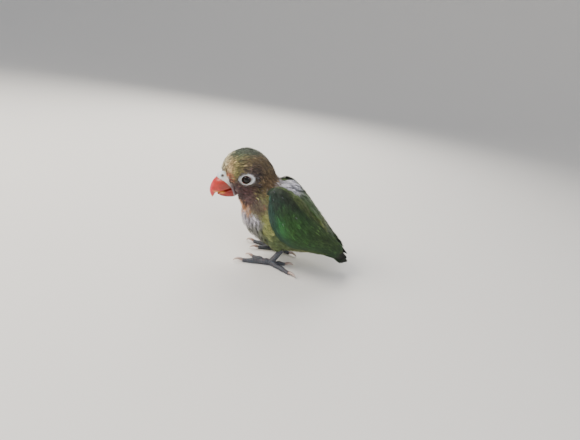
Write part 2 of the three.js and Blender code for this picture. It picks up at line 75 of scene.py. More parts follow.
# Floor and light
# A pale studio sweep: a round floor whose rim curves up into a low wall, matt and even.
# A big soft lamp stands at the bird's bill, a weaker one beside the camera, one behind.
FLOOR_RADIUS = 0.75
SWEEP = 0.6
SWEEP_STEPS = 10


def activate(piece):
    """Selects this object alone."""
    bpy.ops.object.select_all(action="DESELECT")
    piece.select_set(True)
    bpy.context.view_layer.objects.active = piece


def paint(code):
    """A colour code as a linear colour."""
    shares = np.array([int(code[i:i + 2], 16) / 255 for i in (0, 2, 4)])
    return np.where(shares <= 0.04045, shares / 12.92, ((shares + 0.055) / 1.055) ** 2.4)


def finish_named(name, code, roughness, **numbers):
    """A material with its Principled sockets set."""
    made = bpy.data.materials.new(name)
    made.use_nodes = True
    shader = made.node_tree.nodes["Principled BSDF"]
    numbers = {"Base Color": (*paint(code), 1), "Roughness": roughness, **numbers}
    for socket, value in numbers.items():
        shader.inputs[socket.replace("_", " ")].default_value = value
    return made


def add_node(made, kind, feeds=None, **settings):
    """A node added to a finish. feeds are outputs wired to its sockets. A setting with a
    capital is a number on one of its sockets, and any other is the node's own."""
    node = made.node_tree.nodes.new(f"ShaderNode{kind}")
    for key, value in settings.items():
        if key[0].isupper():
            node.inputs[key.replace("_", " ")].default_value = value
        else:
            setattr(node, key, value)
    for socket, source in (feeds or {}).items():
        made.node_tree.links.new(source, node.inputs[socket])
    return node


def wire(made, socket, source):
    """Wires an output to a socket of a finish's Principled shader."""
    shader = made.node_tree.nodes["Principled BSDF"]
    made.node_tree.links.new(source, shader.inputs[socket])


def bumped(made, height, strength, depth):
    """Relief in a finish's surface, from the output that gives its height."""
    bump = add_node(made, "Bump", {"Height": height}, Strength=strength, Distance=depth)
    wire(made, "Normal", bump.outputs["Normal"])


bpy.ops.object.select_all(action="DESELECT")
bpy.ops.mesh.primitive_circle_add(vertices=96, radius=FLOOR_RADIUS, fill_type="NGON")
floor = bpy.context.object
floor.name = "floor"
bpy.ops.object.mode_set(mode="EDIT")
bpy.ops.mesh.select_all(action="SELECT")
rim = FLOOR_RADIUS
for step in range(SWEEP_STEPS):
    angle = math.pi / 2 * (step + 0.5) / SWEEP_STEPS
    run = SWEEP * math.pi / 2 / SWEEP_STEPS
    wider = rim + run * math.cos(angle)
    climb = (0, 0, run * math.sin(angle))
    bpy.ops.mesh.extrude_edges_move(TRANSFORM_OT_translate={"value": climb})
    bpy.ops.transform.resize(value=(wider / rim, wider / rim, 1))
    rim = wider
bpy.ops.object.mode_set(mode="OBJECT")
bpy.ops.object.shade_smooth_by_angle(angle=math.radians(40))
floor_paint = finish_named("pale floor", "eceae5", 0.75)
grain = add_node(floor_paint, "TexNoise", Scale=900)
bumped(floor_paint, grain.outputs["Fac"], 0.05, 0.1 * MM)
floor.data.materials.append(floor_paint)

LAMPS = {
    "window": {"at": (0.12, -0.42, 0.4), "size": 0.34, "power": 4.2, "code": "fff6ea"},
    "beside": {"at": (0.45, 0.22, 0.42), "size": 0.4, "power": 1.5, "code": "f4f7ff"},
    "behind": {"at": (-0.4, -0.12, 0.36), "size": 0.3, "power": 2.4, "code": "fffaf2"},
}
for name, lamp in LAMPS.items():
    light = bpy.data.lights.new(name, "AREA")
    light.size = lamp["size"]
    light.energy = lamp["power"]
    light.color = paint(lamp["code"])
    stand = bpy.data.objects.new(name, light)
    stand.location = lamp["at"]
    stand.rotation_euler = (AIM - stand.location).to_track_quat("-Z", "Y").to_euler()
    bpy.context.scene.collection.objects.link(stand)
world = bpy.data.worlds.new("soft room")
world.use_nodes = True
world.node_tree.nodes["Background"].inputs["Color"].default_value = (0.86, 0.9, 1, 1)
world.node_tree.nodes["Background"].inputs["Strength"].default_value = 0.42
bpy.context.scene.world = world

# Skin
# The bird's own skin under its feathers, one soft sheet from the face to the thighs.
# It carries the coat's markings, darkened as painted shade for the depth of the coat, and each
# feather's root sits in it.
FLESH = ["head", "neck", "torso", "thigh_left", "thigh_right"]
EYES = ["eye_left", "eye_right", "eye_ring_left", "eye_ring_right"]
BARE = ["cere", "bill_upper", "bill_lower", "eye_ring_left", "eye_ring_right"]
CLOSING = 0.35 * MM
VOXEL = 0.6 * MM
SMOOTHING = 0.5
# how deep the skin lies under the coat, and over what length that falls off to the bare parts
HEAD_COAT = 1.0 * MM
BODY_COAT = 1.7 * MM
FACE_COAT = 0.35 * MM
FACE_SPREAD = 5 * MM
# how far the skin's colour is darkened under the feathers and under the down: painted shade deep
# in the coat
SKIN_PAINTED_SHADE = 0.3
DOWN_PAINTED_SHADE = 0.62
EYE_OUT = Vector((0.98, -0.12, 0.12)).normalized()
EYE_RISE = math.radians(15)
EYE_AHEAD = Vector((0, -math.cos(EYE_RISE), -math.sin(EYE_RISE)))
EYE_AHEAD = (EYE_AHEAD - EYE_OUT * EYE_AHEAD.dot(EYE_OUT)).normalized()
EYE_UP = EYE_AHEAD.cross(EYE_OUT)
RING_LONG = 4.5 * MM
RING_HIGH = 2.8 * MM
NEAR_EYE = 8 * MM
FAR_OFF = 9
SOCKET = 1.3 * MM
# The cere's swellings from the middle to the mouth's corner: side, forward, up and radius
CERE_RUN = [
    (0, 14.9, -3.2, 1.2),
    (1.2, 14.7, -3, 1.35),
    (2.4, 13.6, -2.7, 1.7),
    (3.4, 12, -2.6, 1.95),
    (4.1, 10.6, -3.1, 1.6),
    (4.7, 9.1, -3.8, 1.5),
    (4.8, 7.9, -4.7, 1.4),
    (4.7, 6.7, -6.4, 0.95),
    (4.6, 5.8, -8.1, 0.8),
    (4.5, 5.2, -10, 0.65),
]
# how deep the face falls away beside the cere, over how many mm, and how far back behind it
LORE = 2.4 * MM
LORE_SPREAD = 5
RETREAT = 1.3 * MM

eye_low, eye_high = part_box("eye_left")
EYE = (eye_low + eye_high) / 2
HEAD = Vector((0, EYE.y - 2.1 * MM, EYE.z - 0.3 * MM))
EYE.y -= 0.8 * MM
# The solids were laid out with the head's middle at y -21.5 mm and then centred in their box.
SHIFT = HEAD.y + 21.5 * MM


def smooth(low, high, value):
    """0 below low, 1 above high, and a soft step between them."""
    share = np.clip((value - low) / (high - low), 0, 1)
    return share * share * (3 - 2 * share)


def on_head(points):
    """Each point as its side, forward and up from the head's middle, in millimetres."""
    side, forward = np.abs(points[..., 0]), HEAD.y - points[..., 1]
    return np.stack([side, forward, points[..., 2] - HEAD.z], -1) / MM


def on_body(points):
    """Each point as its side, backward and up from the layout's middle, in millimetres."""
    side, backward = np.abs(points[..., 0]), points[..., 1] - SHIFT
    return np.stack([side, backward, points[..., 2]], -1) / MM


# Markings in the order they are laid: place and radii as side, forward or backward, up
BODY_MARKS = [
    ("olive belly", (0, 5, 20), (40, 60, 60), 0.5, "71743a"),
    ("yellow vent", (0, 16, 8), (12, 12, 5), 0.5, "9a9a66"),
    ("green flank", (14, 2, 16), (7, 14, 9), 0.5, "4e5f36"),
    ("green back", (0, 12, 34), (18, 22, 9), 0.4, "3f5a28"),
    ("olive rump", (0, 21, 19), (10, 6, 5), 0.5, "42552f"),
    ("white breast", (4, -18, 22), (11, 7, 5.5), 0.35, "d3ced8"),
    ("white side", (11, -13.5, 22), (5, 4.2, 3.6), 0.45, "d6d2de"),
    ("grey breast", (6, -13, 17), (9, 6, 6), 0.5, "8b8a86"),
    ("yellow side", (13, -6.2, 21.5), (4, 3, 6), 0.5, "b4b86c"),
    ("white mantle", (0, -4, 42), (12, 10.5, 8), 0.25, "e0dfea"),
]
DOWNY = ("yellow vent", "white breast", "white side", "grey breast", "white mantle")
HEAD_MARKS = [
    ("olive brown", (0, -4, 2), (15, 12, 13), 0.3, "625239"),
    ("golden nape", (4, -12, -3), (9, 4.5, 7), 0.5, "6a5438"),
    ("brown collar", (10, -9, -11.5), (7.5, 7, 4.6), 0.45, "54453a"),
    ("green crown", (0, 6.5, 12), (9, 8, 5.5), 0.45, "4b5a45"),
    ("green top", (0, 0, 13), (7, 8, 3), 0.5, "454f3d"),
    ("dark temple", (11, -5, 4), (5, 5, 4), 0.6, "433630"),
    ("dark cheek", (11, 1, -7), (8, 8.5, 7), 0.4, "503636"),
    ("throat", (0, 4, -12), (8, 5, 5), 0.5, "6b3f34"),
    ("orange neck", (11, -11.7, -11.4), (3, 2.2, 1.4), 0.7, "8c5840"),
    ("ear spot", (12.5, -7.1, -1.7), (3, 1.5, 1.4), 0.5, "2e2324"),
    ("peach brow", (8.6, 9, 3.8), (3.8, 3.8, 4.6), 0.6, "c8a878"),
    ("cream forehead", (0, 13, 4.6), (8.6, 4.6, 6.6), 0.5, "ecdcb4"),
    ("dark lore", (6, 8, -5), (4, 3.6, 3.6), 0.5, "5c3d3a"),
    ("orange lore", (9, 7.4, -0.4), (3.2, 2.6, 1.9), 0.6, "b8583c"),
    ("orange throat", (4, 1.5, -14.5), (8, 5.5, 2.4), 0.5, "d08a54"),
    ("orange fringe", (10, -3.5, -14.6), (4, 3.4, 1.5), 0.8, "a8784e"),
]


def cover(place, centre, radii, edge):
    """1 inside a soft spot, and 0 outside its edge."""
    far = np.linalg.norm((place - centre) / radii, axis=-1)
    return 1 - smooth(1 - edge, 1 + edge, far)


def laid(table, place, ground):
    """The colour at each place once a table's soft spots are laid on a ground, in order."""
    colour = np.array(np.broadcast_to(ground, place.shape[:-1] + (3,)))
    for _, centre, radii, edge, code in table:
        colour += (paint(code) - colour) * cover(place, centre, radii, edge)[..., None]
    return colour


def down_share(points):
    """1 where the chick still wears white down, and 0 where it has feathers."""
    place = on_body(points)
    share = np.zeros(place.shape[:-1])
    for name, centre, radii, edge, _ in BODY_MARKS:
        if name in DOWNY:
            share = np.maximum(share, cover(place, centre, radii, edge))
    return share


def markings(points):
    """The coat's colour over each point, before each feather's own variation."""
    body = laid(BODY_MARKS, on_body(points), paint("6a6c3a"))
    return laid(HEAD_MARKS, on_head(points), body)


def read(collection, key, size):
    """One attribute of a mesh's points or faces as an array of rows."""
    values = np.empty(len(collection) * size, np.float32)
    collection.foreach_get(key, values)
    return values.reshape(-1, size).astype(float)


def spots_of(piece):
    """A piece's points as an array."""
    return read(piece.data.vertices, "co", 3)


def put_spots(piece, spots):
    """Moves a piece's points."""
    piece.data.vertices.foreach_set("co", spots.astype(np.float32).ravel())
    piece.data.update()


def modify(piece, kind, **settings):
    """Adds a modifier and applies it."""
    modifier = piece.modifiers.new(kind.lower(), kind)
    for key, value in settings.items():
        setattr(modifier, key, value)
    activate(piece)
    bpy.ops.object.modifier_apply(modifier=modifier.name)


def edit_all(piece, tool, **settings):
    """Uses one of edit mode's tools on the whole of a piece."""
    activate(piece)
    bpy.ops.object.mode_set(mode="EDIT")
    bpy.ops.mesh.select_all(action="SELECT")
    tool(**settings)
    bpy.ops.object.mode_set(mode="OBJECT")


def joined(pieces):
    """Joins pieces into the first of them."""
    activate(pieces[0])
    for piece in pieces:
        piece.select_set(True)
    bpy.ops.object.join()
    return pieces[0]


def tree_of(names):
    """A search tree over CAD nodes' surfaces."""
    corners = []
    faces = []
    for name in names:
        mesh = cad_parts[name].data
        mesh.calc_loop_triangles()
        start = len(corners)
        corners += [v.co.copy() for v in mesh.vertices]
        faces += [[start + i for i in t.vertices] for t in mesh.loop_triangles]
    return BVHTree.FromPolygons(corners, faces)


def distances(tree, points):
    """How far each point is from a tree's surface."""
    return np.array([tree.find_nearest(Vector(p))[3] for p in points])


def unit(vectors):
    """The vectors, each one long."""
    return vectors / np.maximum(np.linalg.norm(vectors, axis=-1, keepdims=True), 1e-12)


def ring_reach(points):
    """How far each point is from the nearer eye's middle, with 1 at the bare ring's rim,
    and the way towards that middle."""
    mirrored = points * np.where(points[:, :1] < 0, [-1, 1, 1], [1, 1, 1])
    from_eye = mirrored - np.array(EYE)
    long_way = from_eye @ np.array(EYE_AHEAD) / RING_LONG
    high_way = from_eye @ np.array(EYE_UP) / RING_HIGH
    inward = -(from_eye - np.outer(from_eye @ np.array(EYE_OUT), EYE_OUT))
    inward[:, 0] *= np.where(points[:, 0] < 0, -1, 1)
    reach = np.hypot(long_way, high_way)
    reach[np.linalg.norm(from_eye, axis=1) > NEAR_EYE] = FAR_OFF
    return reach, unit(inward)


def from_cere(points):
    """How far each point is from the cere's surface, in mm."""
    run = np.array(CERE_RUN)
    far = np.linalg.norm(on_head(points)[:, None] - run[:, :3], axis=2) - run[:, 3]
    return far.min(1)


copies = []
for node in FLESH + EYES:
    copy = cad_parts[node].copy()
    copy.data = copy.data.copy()
    copy.parent = None
    for key in list(copy.keys()):
        del copy[key]
    bpy.context.scene.collection.objects.link(copy)
    copies.append(copy)
skin = joined(copies)
skin.name = "skin"
edit_all(skin, bpy.ops.mesh.remove_doubles, threshold=0.001 * MM)
skin.data.materials.clear()
modify(skin, "DISPLACE", strength=CLOSING, mid_level=0)
modify(skin, "REMESH", mode="VOXEL", voxel_size=VOXEL)
modify(skin, "SMOOTH", factor=SMOOTHING, iterations=8)
bare_tree = tree_of(BARE)
corners = spots_of(skin)
outward = read(skin.data.vertex_normals, "vector", 3)
head_share = 1 - smooth(13, 17, np.linalg.norm(on_head(corners), axis=1))
depth = BODY_COAT + (HEAD_COAT - BODY_COAT) * head_share
depth = FACE_COAT + (depth - FACE_COAT) * smooth(0, FACE_SPREAD, distances(bare_tree, corners))
depth += SOCKET * (1 - smooth(0.7, 0.95, ring_reach(corners)[0]))
beside_cere = smooth(1, 4, on_head(corners)[:, 0]) * smooth(2, 6, on_head(corners)[:, 1])
depth += LORE * (1 - smooth(0, LORE_SPREAD, from_cere(corners))) * beside_cere
corners -= outward * (CLOSING + depth)[:, None]
corners[:, 1] += RETREAT * (1 - smooth(0.2, 3, from_cere(corners)))
put_spots(skin, corners)
modify(skin, "SMOOTH", factor=SMOOTHING, iterations=9)
bpy.ops.object.shade_smooth()
edit_all(skin, bpy.ops.uv.smart_project, angle_limit=math.radians(66), island_margin=0.01)
skin.data.uv_layers[0].name = "OFBake"


def colour_points(mesh, colours):
    """Writes the attribute that the coat's materials read."""
    layer = mesh.color_attributes.new(name="Coat", type="FLOAT_COLOR", domain="POINT")
    rgba = np.ones((len(mesh.vertices), 4), np.float32)
    rgba[:, :3] = colours
    layer.data.foreach_set("color", rgba.ravel())


def coat_colour(made):
    """The Coat attribute as a colour for a finish."""
    return add_node(made, "VertexColor", layer_name="Coat").outputs["Color"]


def own_place(made):
    """Places in the piece itself, for a finish's patterns."""
    return add_node(made, "TexCoord").outputs["Object"]


def placed(piece, finish, slot, *nodes):
    """Gives a piece its finish, says where it rides and hides the nodes it replaces; slot is not
    used.
    """
    piece.data.materials.append(finish)
    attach(piece, "root")
    if nodes:
        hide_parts(*nodes)


corners = spots_of(skin)
# the skin is a darker copy of the coat's markings: painted shade where it shows between the
# feathers
shade = SKIN_PAINTED_SHADE + (DOWN_PAINTED_SHADE - SKIN_PAINTED_SHADE) * down_share(corners)
colour = markings(corners) * shade[:, None]
bill_tree = tree_of(["cere", "bill_upper", "bill_lower"])
by_bill = 1 - smooth(0.6 * MM, 2 * MM, distances(bill_tree, corners))
by_eye = 1 - smooth(1.1, 1.45, ring_reach(corners)[0])
colour += (paint("6f5d60") - colour) * by_bill[:, None]
colour += (paint("8f8a8a") - colour) * by_eye[:, None]
colour_points(skin.data, colour)
skin_paint = finish_named("feathered skin", "6b5a48", 0.8)
wire(skin_paint, "Base Color", coat_colour(skin_paint))
pores = add_node(skin_paint, "TexVoronoi", {"Vector": own_place(skin_paint)}, Scale=1200)
bumped(skin_paint, pores.outputs["Distance"], 0.4, 0.1 * MM)
placed(skin, skin_paint, "body_plumage", *FLESH)

# Small feathers of the head and body
# Soft feathers a few millimetres long, rooted in the skin, each over the roots of the next.
# A chick's head still has narrow, hair-like ones; those of the body are small vanes.
BILL_ROOT = Vector((0, 15, -4))
BODY_LIE = np.array([0, 0.76, -0.65])
THROAT = np.array([0, 5, -13])
# how far the head's feathers and the body's reach and begin, in mm from the head's middle
HEAD_END = 16.5
BODY_START = 15.5
# how many roots are tried for each one that finds room
TRIES = 5
# how large a strip's patch is on the skin's unwrap
PATCH = 0.003

skin.data.calc_loop_triangles()
triangles = read(skin.data.loop_triangles, "vertices", 3).astype(int)
triangle_loops = read(skin.data.loop_triangles, "loops", 3).astype(int)
corner_normals = read(skin.data.vertex_normals, "vector", 3)
corner_uvs = read(skin.data.uv_layers["OFBake"].data, "uv", 2)
skin_tree = BVHTree.FromPolygons(corners.tolist(), triangles.tolist())
wing_tree = tree_of(["wing_left", "wing_right"])
horn_tree = tree_of(["bill_upper", "bill_lower"])


def lie(points, normals):
    """The way that the coat lies: back from the bill over the head, round the eyes, and down
    the body to the tail."""
    place = on_head(points)
    from_bill = place - np.array(BILL_ROOT)
    head_way = np.stack(
        [from_bill[:, 0] * np.sign(points[:, 0]), -from_bill[:, 1], from_bill[:, 2]], 1
    )
    head_way = unit(head_way)
    body_way = BODY_LIE + np.stack([points[:, 0] * 8, points[:, 0] * 0, points[:, 0] * 0], 1)
    far = np.linalg.norm(place, axis=1)
    on_body_share = np.maximum(smooth(12.5, 17, far), smooth(4, 11, -place[:, 1]))
    way = unit(head_way * (1 - on_body_share[:, None]) + body_way * on_body_share[:, None])
    reach, inward = ring_reach(points)
    near = np.exp(-np.maximum(reach - 1, 0) / 0.45) * (far < 18)
    towards = np.maximum((way * inward).sum(1), 0)
    way = way - inward * (towards * near)[:, None]
    way -= normals * (way * normals).sum(1, keepdims=True)
    return unit(way)


def sow(spacing, keep, draw):
    """Roots spread evenly over the skin where keep says so: their points, normals and UVs."""
    a, b, c = (corners[triangles[:, k]] for k in range(3))
    areas = np.linalg.norm(np.cross(b - a, c - a), axis=1) / 2
    areas = areas * (keep((a + b + c) / 3) > 0)
    count = int(areas.sum() / spacing**2 * TRIES)
    picked = draw.choice(len(areas), count, p=areas / areas.sum())
    shares = draw.random((count, 2))
    shares = np.where(shares.sum(1, keepdims=True) > 1, 1 - shares, shares)
    shares = np.concatenate([1 - shares.sum(1, keepdims=True), shares], 1)
    points = (corners[triangles[picked]] * shares[..., None]).sum(1)
    tree = KDTree(count)
    for i, p in enumerate(points):
        tree.insert(p, i)
    tree.balance()
    free = np.ones(count, bool)
    kept = []
    for i in range(count):
        if not free[i]:
            continue
        kept.append(i)
        for _, j, _ in tree.find_range(points[i], spacing):
            free[j] = False
    kept = np.array(kept)
    kept = kept[draw.random(len(kept)) < keep(points[kept])]
    picked = picked[kept]
    weights = shares[kept][..., None]
    normals = unit((corner_normals[triangles[picked]] * weights).sum(1))
    uvs = (corner_uvs[triangle_loops[picked]] * weights).sum(1)
    return points[kept], normals, uvs


def grow(points, normals, length, height, steps=4):
    """Quill lines over the skin: paths and the directions out of the skin along them.
    height is each line's rise over the skin at its highest."""
    count = len(points)
    path = np.empty((count, steps + 1, 3))
    out = np.empty((count, steps + 1, 3))
    path[:, 0] = points
    out[:, 0] = normals
    foot = points
    normal = normals
    for k in range(1, steps + 1):
        way = lie(foot, normal)
        foot = foot + way * (length / steps)[:, None]
        hits = [skin_tree.find_nearest(Vector(p)) for p in foot]
        foot = np.array([hit[0] for hit in hits])
        normal = unit(normal + np.array([hit[1] for hit in hits]))
        share = k / steps
        rise = 1 - (1 - min(1, share * 1.4)) ** 2
        path[:, k] = foot + normal * (height * rise)[:, None]
        out[:, k] = normal
    return path, out


def along(path, share):
    """The point at a share of each path, from 0 to 1."""
    last = path.shape[1] - 1
    place = np.clip(share, 0, 1) * last
    low = np.minimum(place.astype(int), last - 1)
    rest = (place - low)[..., None]
    rows = np.arange(len(path)).reshape((-1,) + (1,) * (share.ndim - 1))
    return path[rows, low] * (1 - rest) + path[rows, low + 1] * rest


def sides_of(path, out):
    """Unit vectors across each path, in the surface."""
    return unit(np.cross(np.gradient(path, axis=1), out))


def mesh_piece(name, points, faces, colours):
    """A new smooth piece with the coat's colour at each point."""
    mesh = bpy.data.meshes.new(name)
    mesh.from_pydata(points.tolist(), [], faces.tolist())
    colour_points(mesh, colours)
    mesh.polygons.foreach_set("use_smooth", np.ones(len(faces), bool))
    piece = bpy.data.objects.new(name, mesh)
    bpy.context.scene.collection.objects.link(piece)
    return piece


def lay_uvs(piece, name, faces, at_points):
    """Writes a UV map, given its place at each point."""
    layer = piece.data.uv_layers.new(name=name)
    layer.data.foreach_set("uv", at_points[faces.ravel()].astype(np.float32).ravel())


def quads_over(index):
    """The quads between the neighbours of grids of point numbers."""
    quads = [index[..., :-1, :-1], index[..., :-1, 1:], index[..., 1:, 1:], index[..., 1:, :-1]]
    return np.stack(quads, -1).reshape(-1, 4)


def ribbons(name, slot, left, right, colour, patch, uv):
    """One mesh of narrow strips. left, right and colour are (strips, stations, 3), patch the
    same with 2 numbers from 0 to 1, and uv each strip's place on the skin's unwrap."""
    points = np.stack([left, right], 2)
    faces = quads_over(np.arange(points[..., 0].size).reshape(points.shape[:3]))
    piece = mesh_piece(name, points.reshape(-1, 3), faces, np.repeat(colour.reshape(-1, 3), 2, 0))
    spot = uv[:, None, :] + (patch - 0.5) * PATCH
    at_points = np.repeat(spot.reshape(-1, 2), 2, 0)
    at_points[1::2, 0] += PATCH / 10
    lay_uvs(piece, "OFBake", faces, at_points)
    placed(piece, coat_paint, slot)


def strips_of(middle, half, colours, patch, uv):
    """What ribbons wants, from each strip's middle line and half its width."""
    stations = middle.shape[2]
    return (
        (middle - half).reshape(-1, stations, 3),
        (middle + half).reshape(-1, stations, 3),
        np.clip(colours, 0, 1).reshape(-1, stations, 3),
        patch.reshape(-1, stations, 2),
        np.repeat(uv, middle.shape[1], 0),
    )


def tufts(
    path, out, colour, uv, draw, strands, width, spread, ragged, curl, tip, root, tone_spread
):
    """Hair-like feathers: strands that part from one root. Gives what ribbons wants."""
    count = len(path)
    stations = 5
    side = sides_of(path, out)
    lane = np.linspace(-1, 1, strands)[None, :] + draw.normal(0, 0.25, (count, strands))
    reach = 1 - ragged * draw.random((count, strands))
    share = np.linspace(0, 1, stations)[None, None, :] * reach[..., None]
    middle = along(path, share)
    across = along(side, share)
    outward = along(out, share)
    bend = draw.normal(0, curl, (count, strands, 1, 1)) * share[..., None] ** 2
    lift = draw.normal(0, curl * 0.6, (count, strands, 1, 1)) * share[..., None] ** 2
    middle = middle + across * (lane[..., None, None] * spread * share[..., None] ** 0.7 + bend)
    middle = middle + outward * lift
    thin = np.array([0.7, 1, 0.95, 0.7, 0.12])[None, None, :, None]
    turned = unit(across + outward * draw.normal(0, 0.35, (count, strands, 1, 1)))
    half = turned * thin * width / 2
    # each strand is painted darker towards its root, as shade deep in the coat, and lighter at its
    # tip
    shade = np.interp(np.linspace(0, 1, stations), [0, 0.45, 0.8, 1], [root, 0.75, 1, tip])
    tone = draw.lognormal(0, tone_spread, (count, strands, 1, 1))
    colours = colour[:, None, None, :] * shade[None, None, :, None] * tone
    place = np.clip(lane * 0.5 + 0.5, 0, 0.9)[..., None] + 0 * share
    patch = np.stack([place, share], -1)
    return strips_of(middle, half, colours, patch, uv)


RAGGED = 0.32


def plumes(path, out, colour, uv, draw, width, barbs, tip=1.15, root=0.4):
    """Small vanes: a shaft with barbs on both sides that slant towards the tip."""
    count = len(path)
    side = sides_of(path, out)
    length = np.linalg.norm(np.diff(path, axis=1), axis=2).sum(1)
    starts = np.linspace(0.12, 0.95, barbs)
    outline = np.interp(starts, [0.1, 0.3, 0.6, 0.8, 0.95], [0.5, 0.9, 1, 0.8, 0.25])
    start = np.concatenate([starts, starts])[None, :]
    half = np.concatenate([-outline, outline])[None, :] * width[:, None] / 2
    half = half * (1 - RAGGED * draw.random((count, barbs * 2)))
    slant = 0.75 * np.abs(half) / length[:, None] * (1 + 0.3 * draw.random((count, barbs * 2)))
    stations = np.array([0, 0.5, 1])
    share = start[..., None] + slant[..., None] * stations**1.3
    middle = along(path, share)
    across = along(side, share)
    outward = along(out, share)
    middle = middle + across * (half[..., None] * stations**0.85)[..., None]
    droop = 0.28 * (half[..., None] * stations) ** 2 / width[:, None, None]
    middle = middle - outward * droop[..., None]
    run = unit(along(path, np.minimum(share + 0.05, 1)) - along(path, share - 0.05))
    thick = length[:, None, None] / barbs * np.array([0.62, 0.44, 0.05])
    # each barb is painted darker towards the feather's root, as shade where the feathers overlap,
    # and lighter at its tip
    shade = np.interp(share, [0, 0.4, 0.85, 1.0], [root, 0.7, 1, tip])
    tone = draw.lognormal(0, 0.1, (count, 1, 1)) * draw.lognormal(0, 0.2, share.shape[:2] + (1,))
    colours = colour[:, None, None, :] * (shade * tone)[..., None]
    place = np.clip(0.5 + (half / width[:, None])[..., None] * stations, 0, 0.9)
    patch = np.stack([place, np.clip(share, 0, 1)], -1)
    return strips_of(middle, run * thick[..., None], colours, patch, uv)


def covered_by_wing(points, normals):
    """Whether a wing lies over each point."""
    reach = 8 * MM
    casts = (wing_tree.ray_cast(Vector(p), Vector(n), reach) for p, n in zip(points, normals))
    return np.array([hit[0] is not None for hit in casts])


def feathered(points):
    """1 where feathers grow: not inside the eyes' rings nor against the bill."""
    clear_eye = ring_reach(points)[0] > 0.9
    clear_bill = distances(horn_tree, points) > 0.4 * MM
    bare_lore = smooth(-1.5, -4, on_head(points)[:, 2]) * 1.1
    return (clear_eye & clear_bill & (from_cere(points) > bare_lore)).astype(float)


def vary(draw, values, low, high):
    """Each value times a share drawn between low and high."""
    return values * draw.uniform(low, high, len(values))


coat_paint = finish_named(
    "soft feather", "6b5a38", 0.62, Sheen_Weight=0.25, Sheen_Roughness=0.4
)
wire(coat_paint, "Base Color", coat_colour(coat_paint))

draw = np.random.default_rng(7)


def head_part(points):
    """1 where the head's feathers grow."""
    return (np.linalg.norm(on_head(points), axis=1) < HEAD_END) * feathered(points)


def sown_on_head(spacing):
    """Roots over the head, with how far each is from the bare parts, in mm."""
    points, normals, uvs = sow(spacing, head_part, draw)
    seen = ~covered_by_wing(points, normals)
    points = points[seen]
    return points, normals[seen], uvs[seen], distances(bare_tree, points) / MM


points, normals, uvs, near = sown_on_head(0.52 * MM)
length = vary(draw, np.interp(near, [0, 1, 4], [0.9, 1.6, 3.1]) * MM, 0.8, 1.15)
height = vary(draw, np.interp(near, [0, 1, 5], [0.35, 0.6, 1]) * MM, 0.75, 1.1)
loose = np.exp(-(np.linalg.norm((on_head(points) - THROAT) / [9, 5, 4], axis=1) ** 2))
length += 1.8 * MM * loose
height += 1.5 * MM * loose * draw.uniform(0.5, 1.2, len(points))
path, out = grow(points, normals, length, height)
jitter = draw.normal(0, 0.7 * MM, points.shape)
colour = markings(path[:, 3] + jitter) * draw.lognormal(0, 0.34, (len(points), 1))
ribbons("head_feathers", "head_plumage", *tufts(
    path, out, colour, uvs, draw, strands=5, width=0.2 * MM, spread=0.42 * MM, ragged=0.35,
    curl=0.16 * MM, tip=1.7, root=0.25, tone_spread=0.25,
))

# longer tufts here and there that lie over the others as streaks
points, normals, uvs, near = sown_on_head(0.95 * MM)
length = vary(draw, np.interp(near, [0, 1, 5], [0.9, 1.7, 3.6]) * MM, 0.7, 1.1)
height = vary(draw, np.interp(near, [0, 1, 5], [0.4, 0.7, 1.2]) * MM, 0.9, 1.1)
path, out = grow(points, normals, length, height)
colour = markings(path[:, 3] + draw.normal(0, 1.1 * MM, points.shape))
colour *= draw.lognormal(0.15, 0.45, (len(points), 1))
ribbons("head_streaks", "head_plumage", *tufts(
    path, out, colour, uvs, draw, strands=4, width=0.2 * MM, spread=0.2 * MM, ragged=0.3,
    curl=0.12 * MM, tip=1.5, root=0.4, tone_spread=0.15,
))


def body_part(points):
    """1 where the body's feathers or its down grow."""
    return (np.linalg.norm(on_head(points), axis=1) >= BODY_START) * feathered(points)


def vaned_part(points):
    """How thickly the body's small vanes grow."""
    return body_part(points) * (1 - smooth(0, 0.7, down_share(points)))


def downy_part(points):
    """How thickly the down grows."""
    return body_part(points) * smooth(0.1, 0.6, down_share(points))


def sown_on_body(spacing, keep):
    """Roots over the body, with how far each is in the hollow of the back between the wings
    and how near a wing's front. The wings hide the others, apart from that hollow's."""
    points, normals, uvs = sow(spacing, keep, draw)
    between = (on_body(points)[:, 0] < 4.5) & (normals[:, 2] > 0)
    seen = ~covered_by_wing(points, normals) | between
    points, normals, uvs = points[seen], normals[seen], uvs[seen]
    place = on_body(points)
    hollow = smooth(-0.1, 0.5, normals[:, 2]) * (1 - smooth(7, 10, place[:, 0]))
    ahead = 1 - smooth(-9, -3, place[:, 1])
    beside = np.exp(-((distances(wing_tree, points) / (2.5 * MM)) ** 2)) * ahead
    return points, normals, uvs, hollow, beside


points, normals, uvs, hollow, beside = sown_on_body(0.8 * MM, vaned_part)
rump = np.exp(-(np.linalg.norm((on_body(points) - [0, 20, 20]) / [7, 7, 7], axis=1) ** 2))
length = vary(draw, (4.2 + 2.2 * hollow + 2.4 * rump) * MM, 0.85, 1.15)
height = vary(draw, BODY_COAT + (2.1 * hollow + 1.6 * beside) * MM, 0.7, 1.05)
path, out = grow(points, normals, length, height)
colour = markings(path[:, 3] + draw.normal(0, 0.8 * MM, points.shape))
width = vary(draw, (2.1 + 0.5 * hollow) * MM, 0.85, 1.15)
strips = plumes(path, out, colour, uvs, draw, width, barbs=13)
ribbons("body_feathers", "body_plumage", *strips)

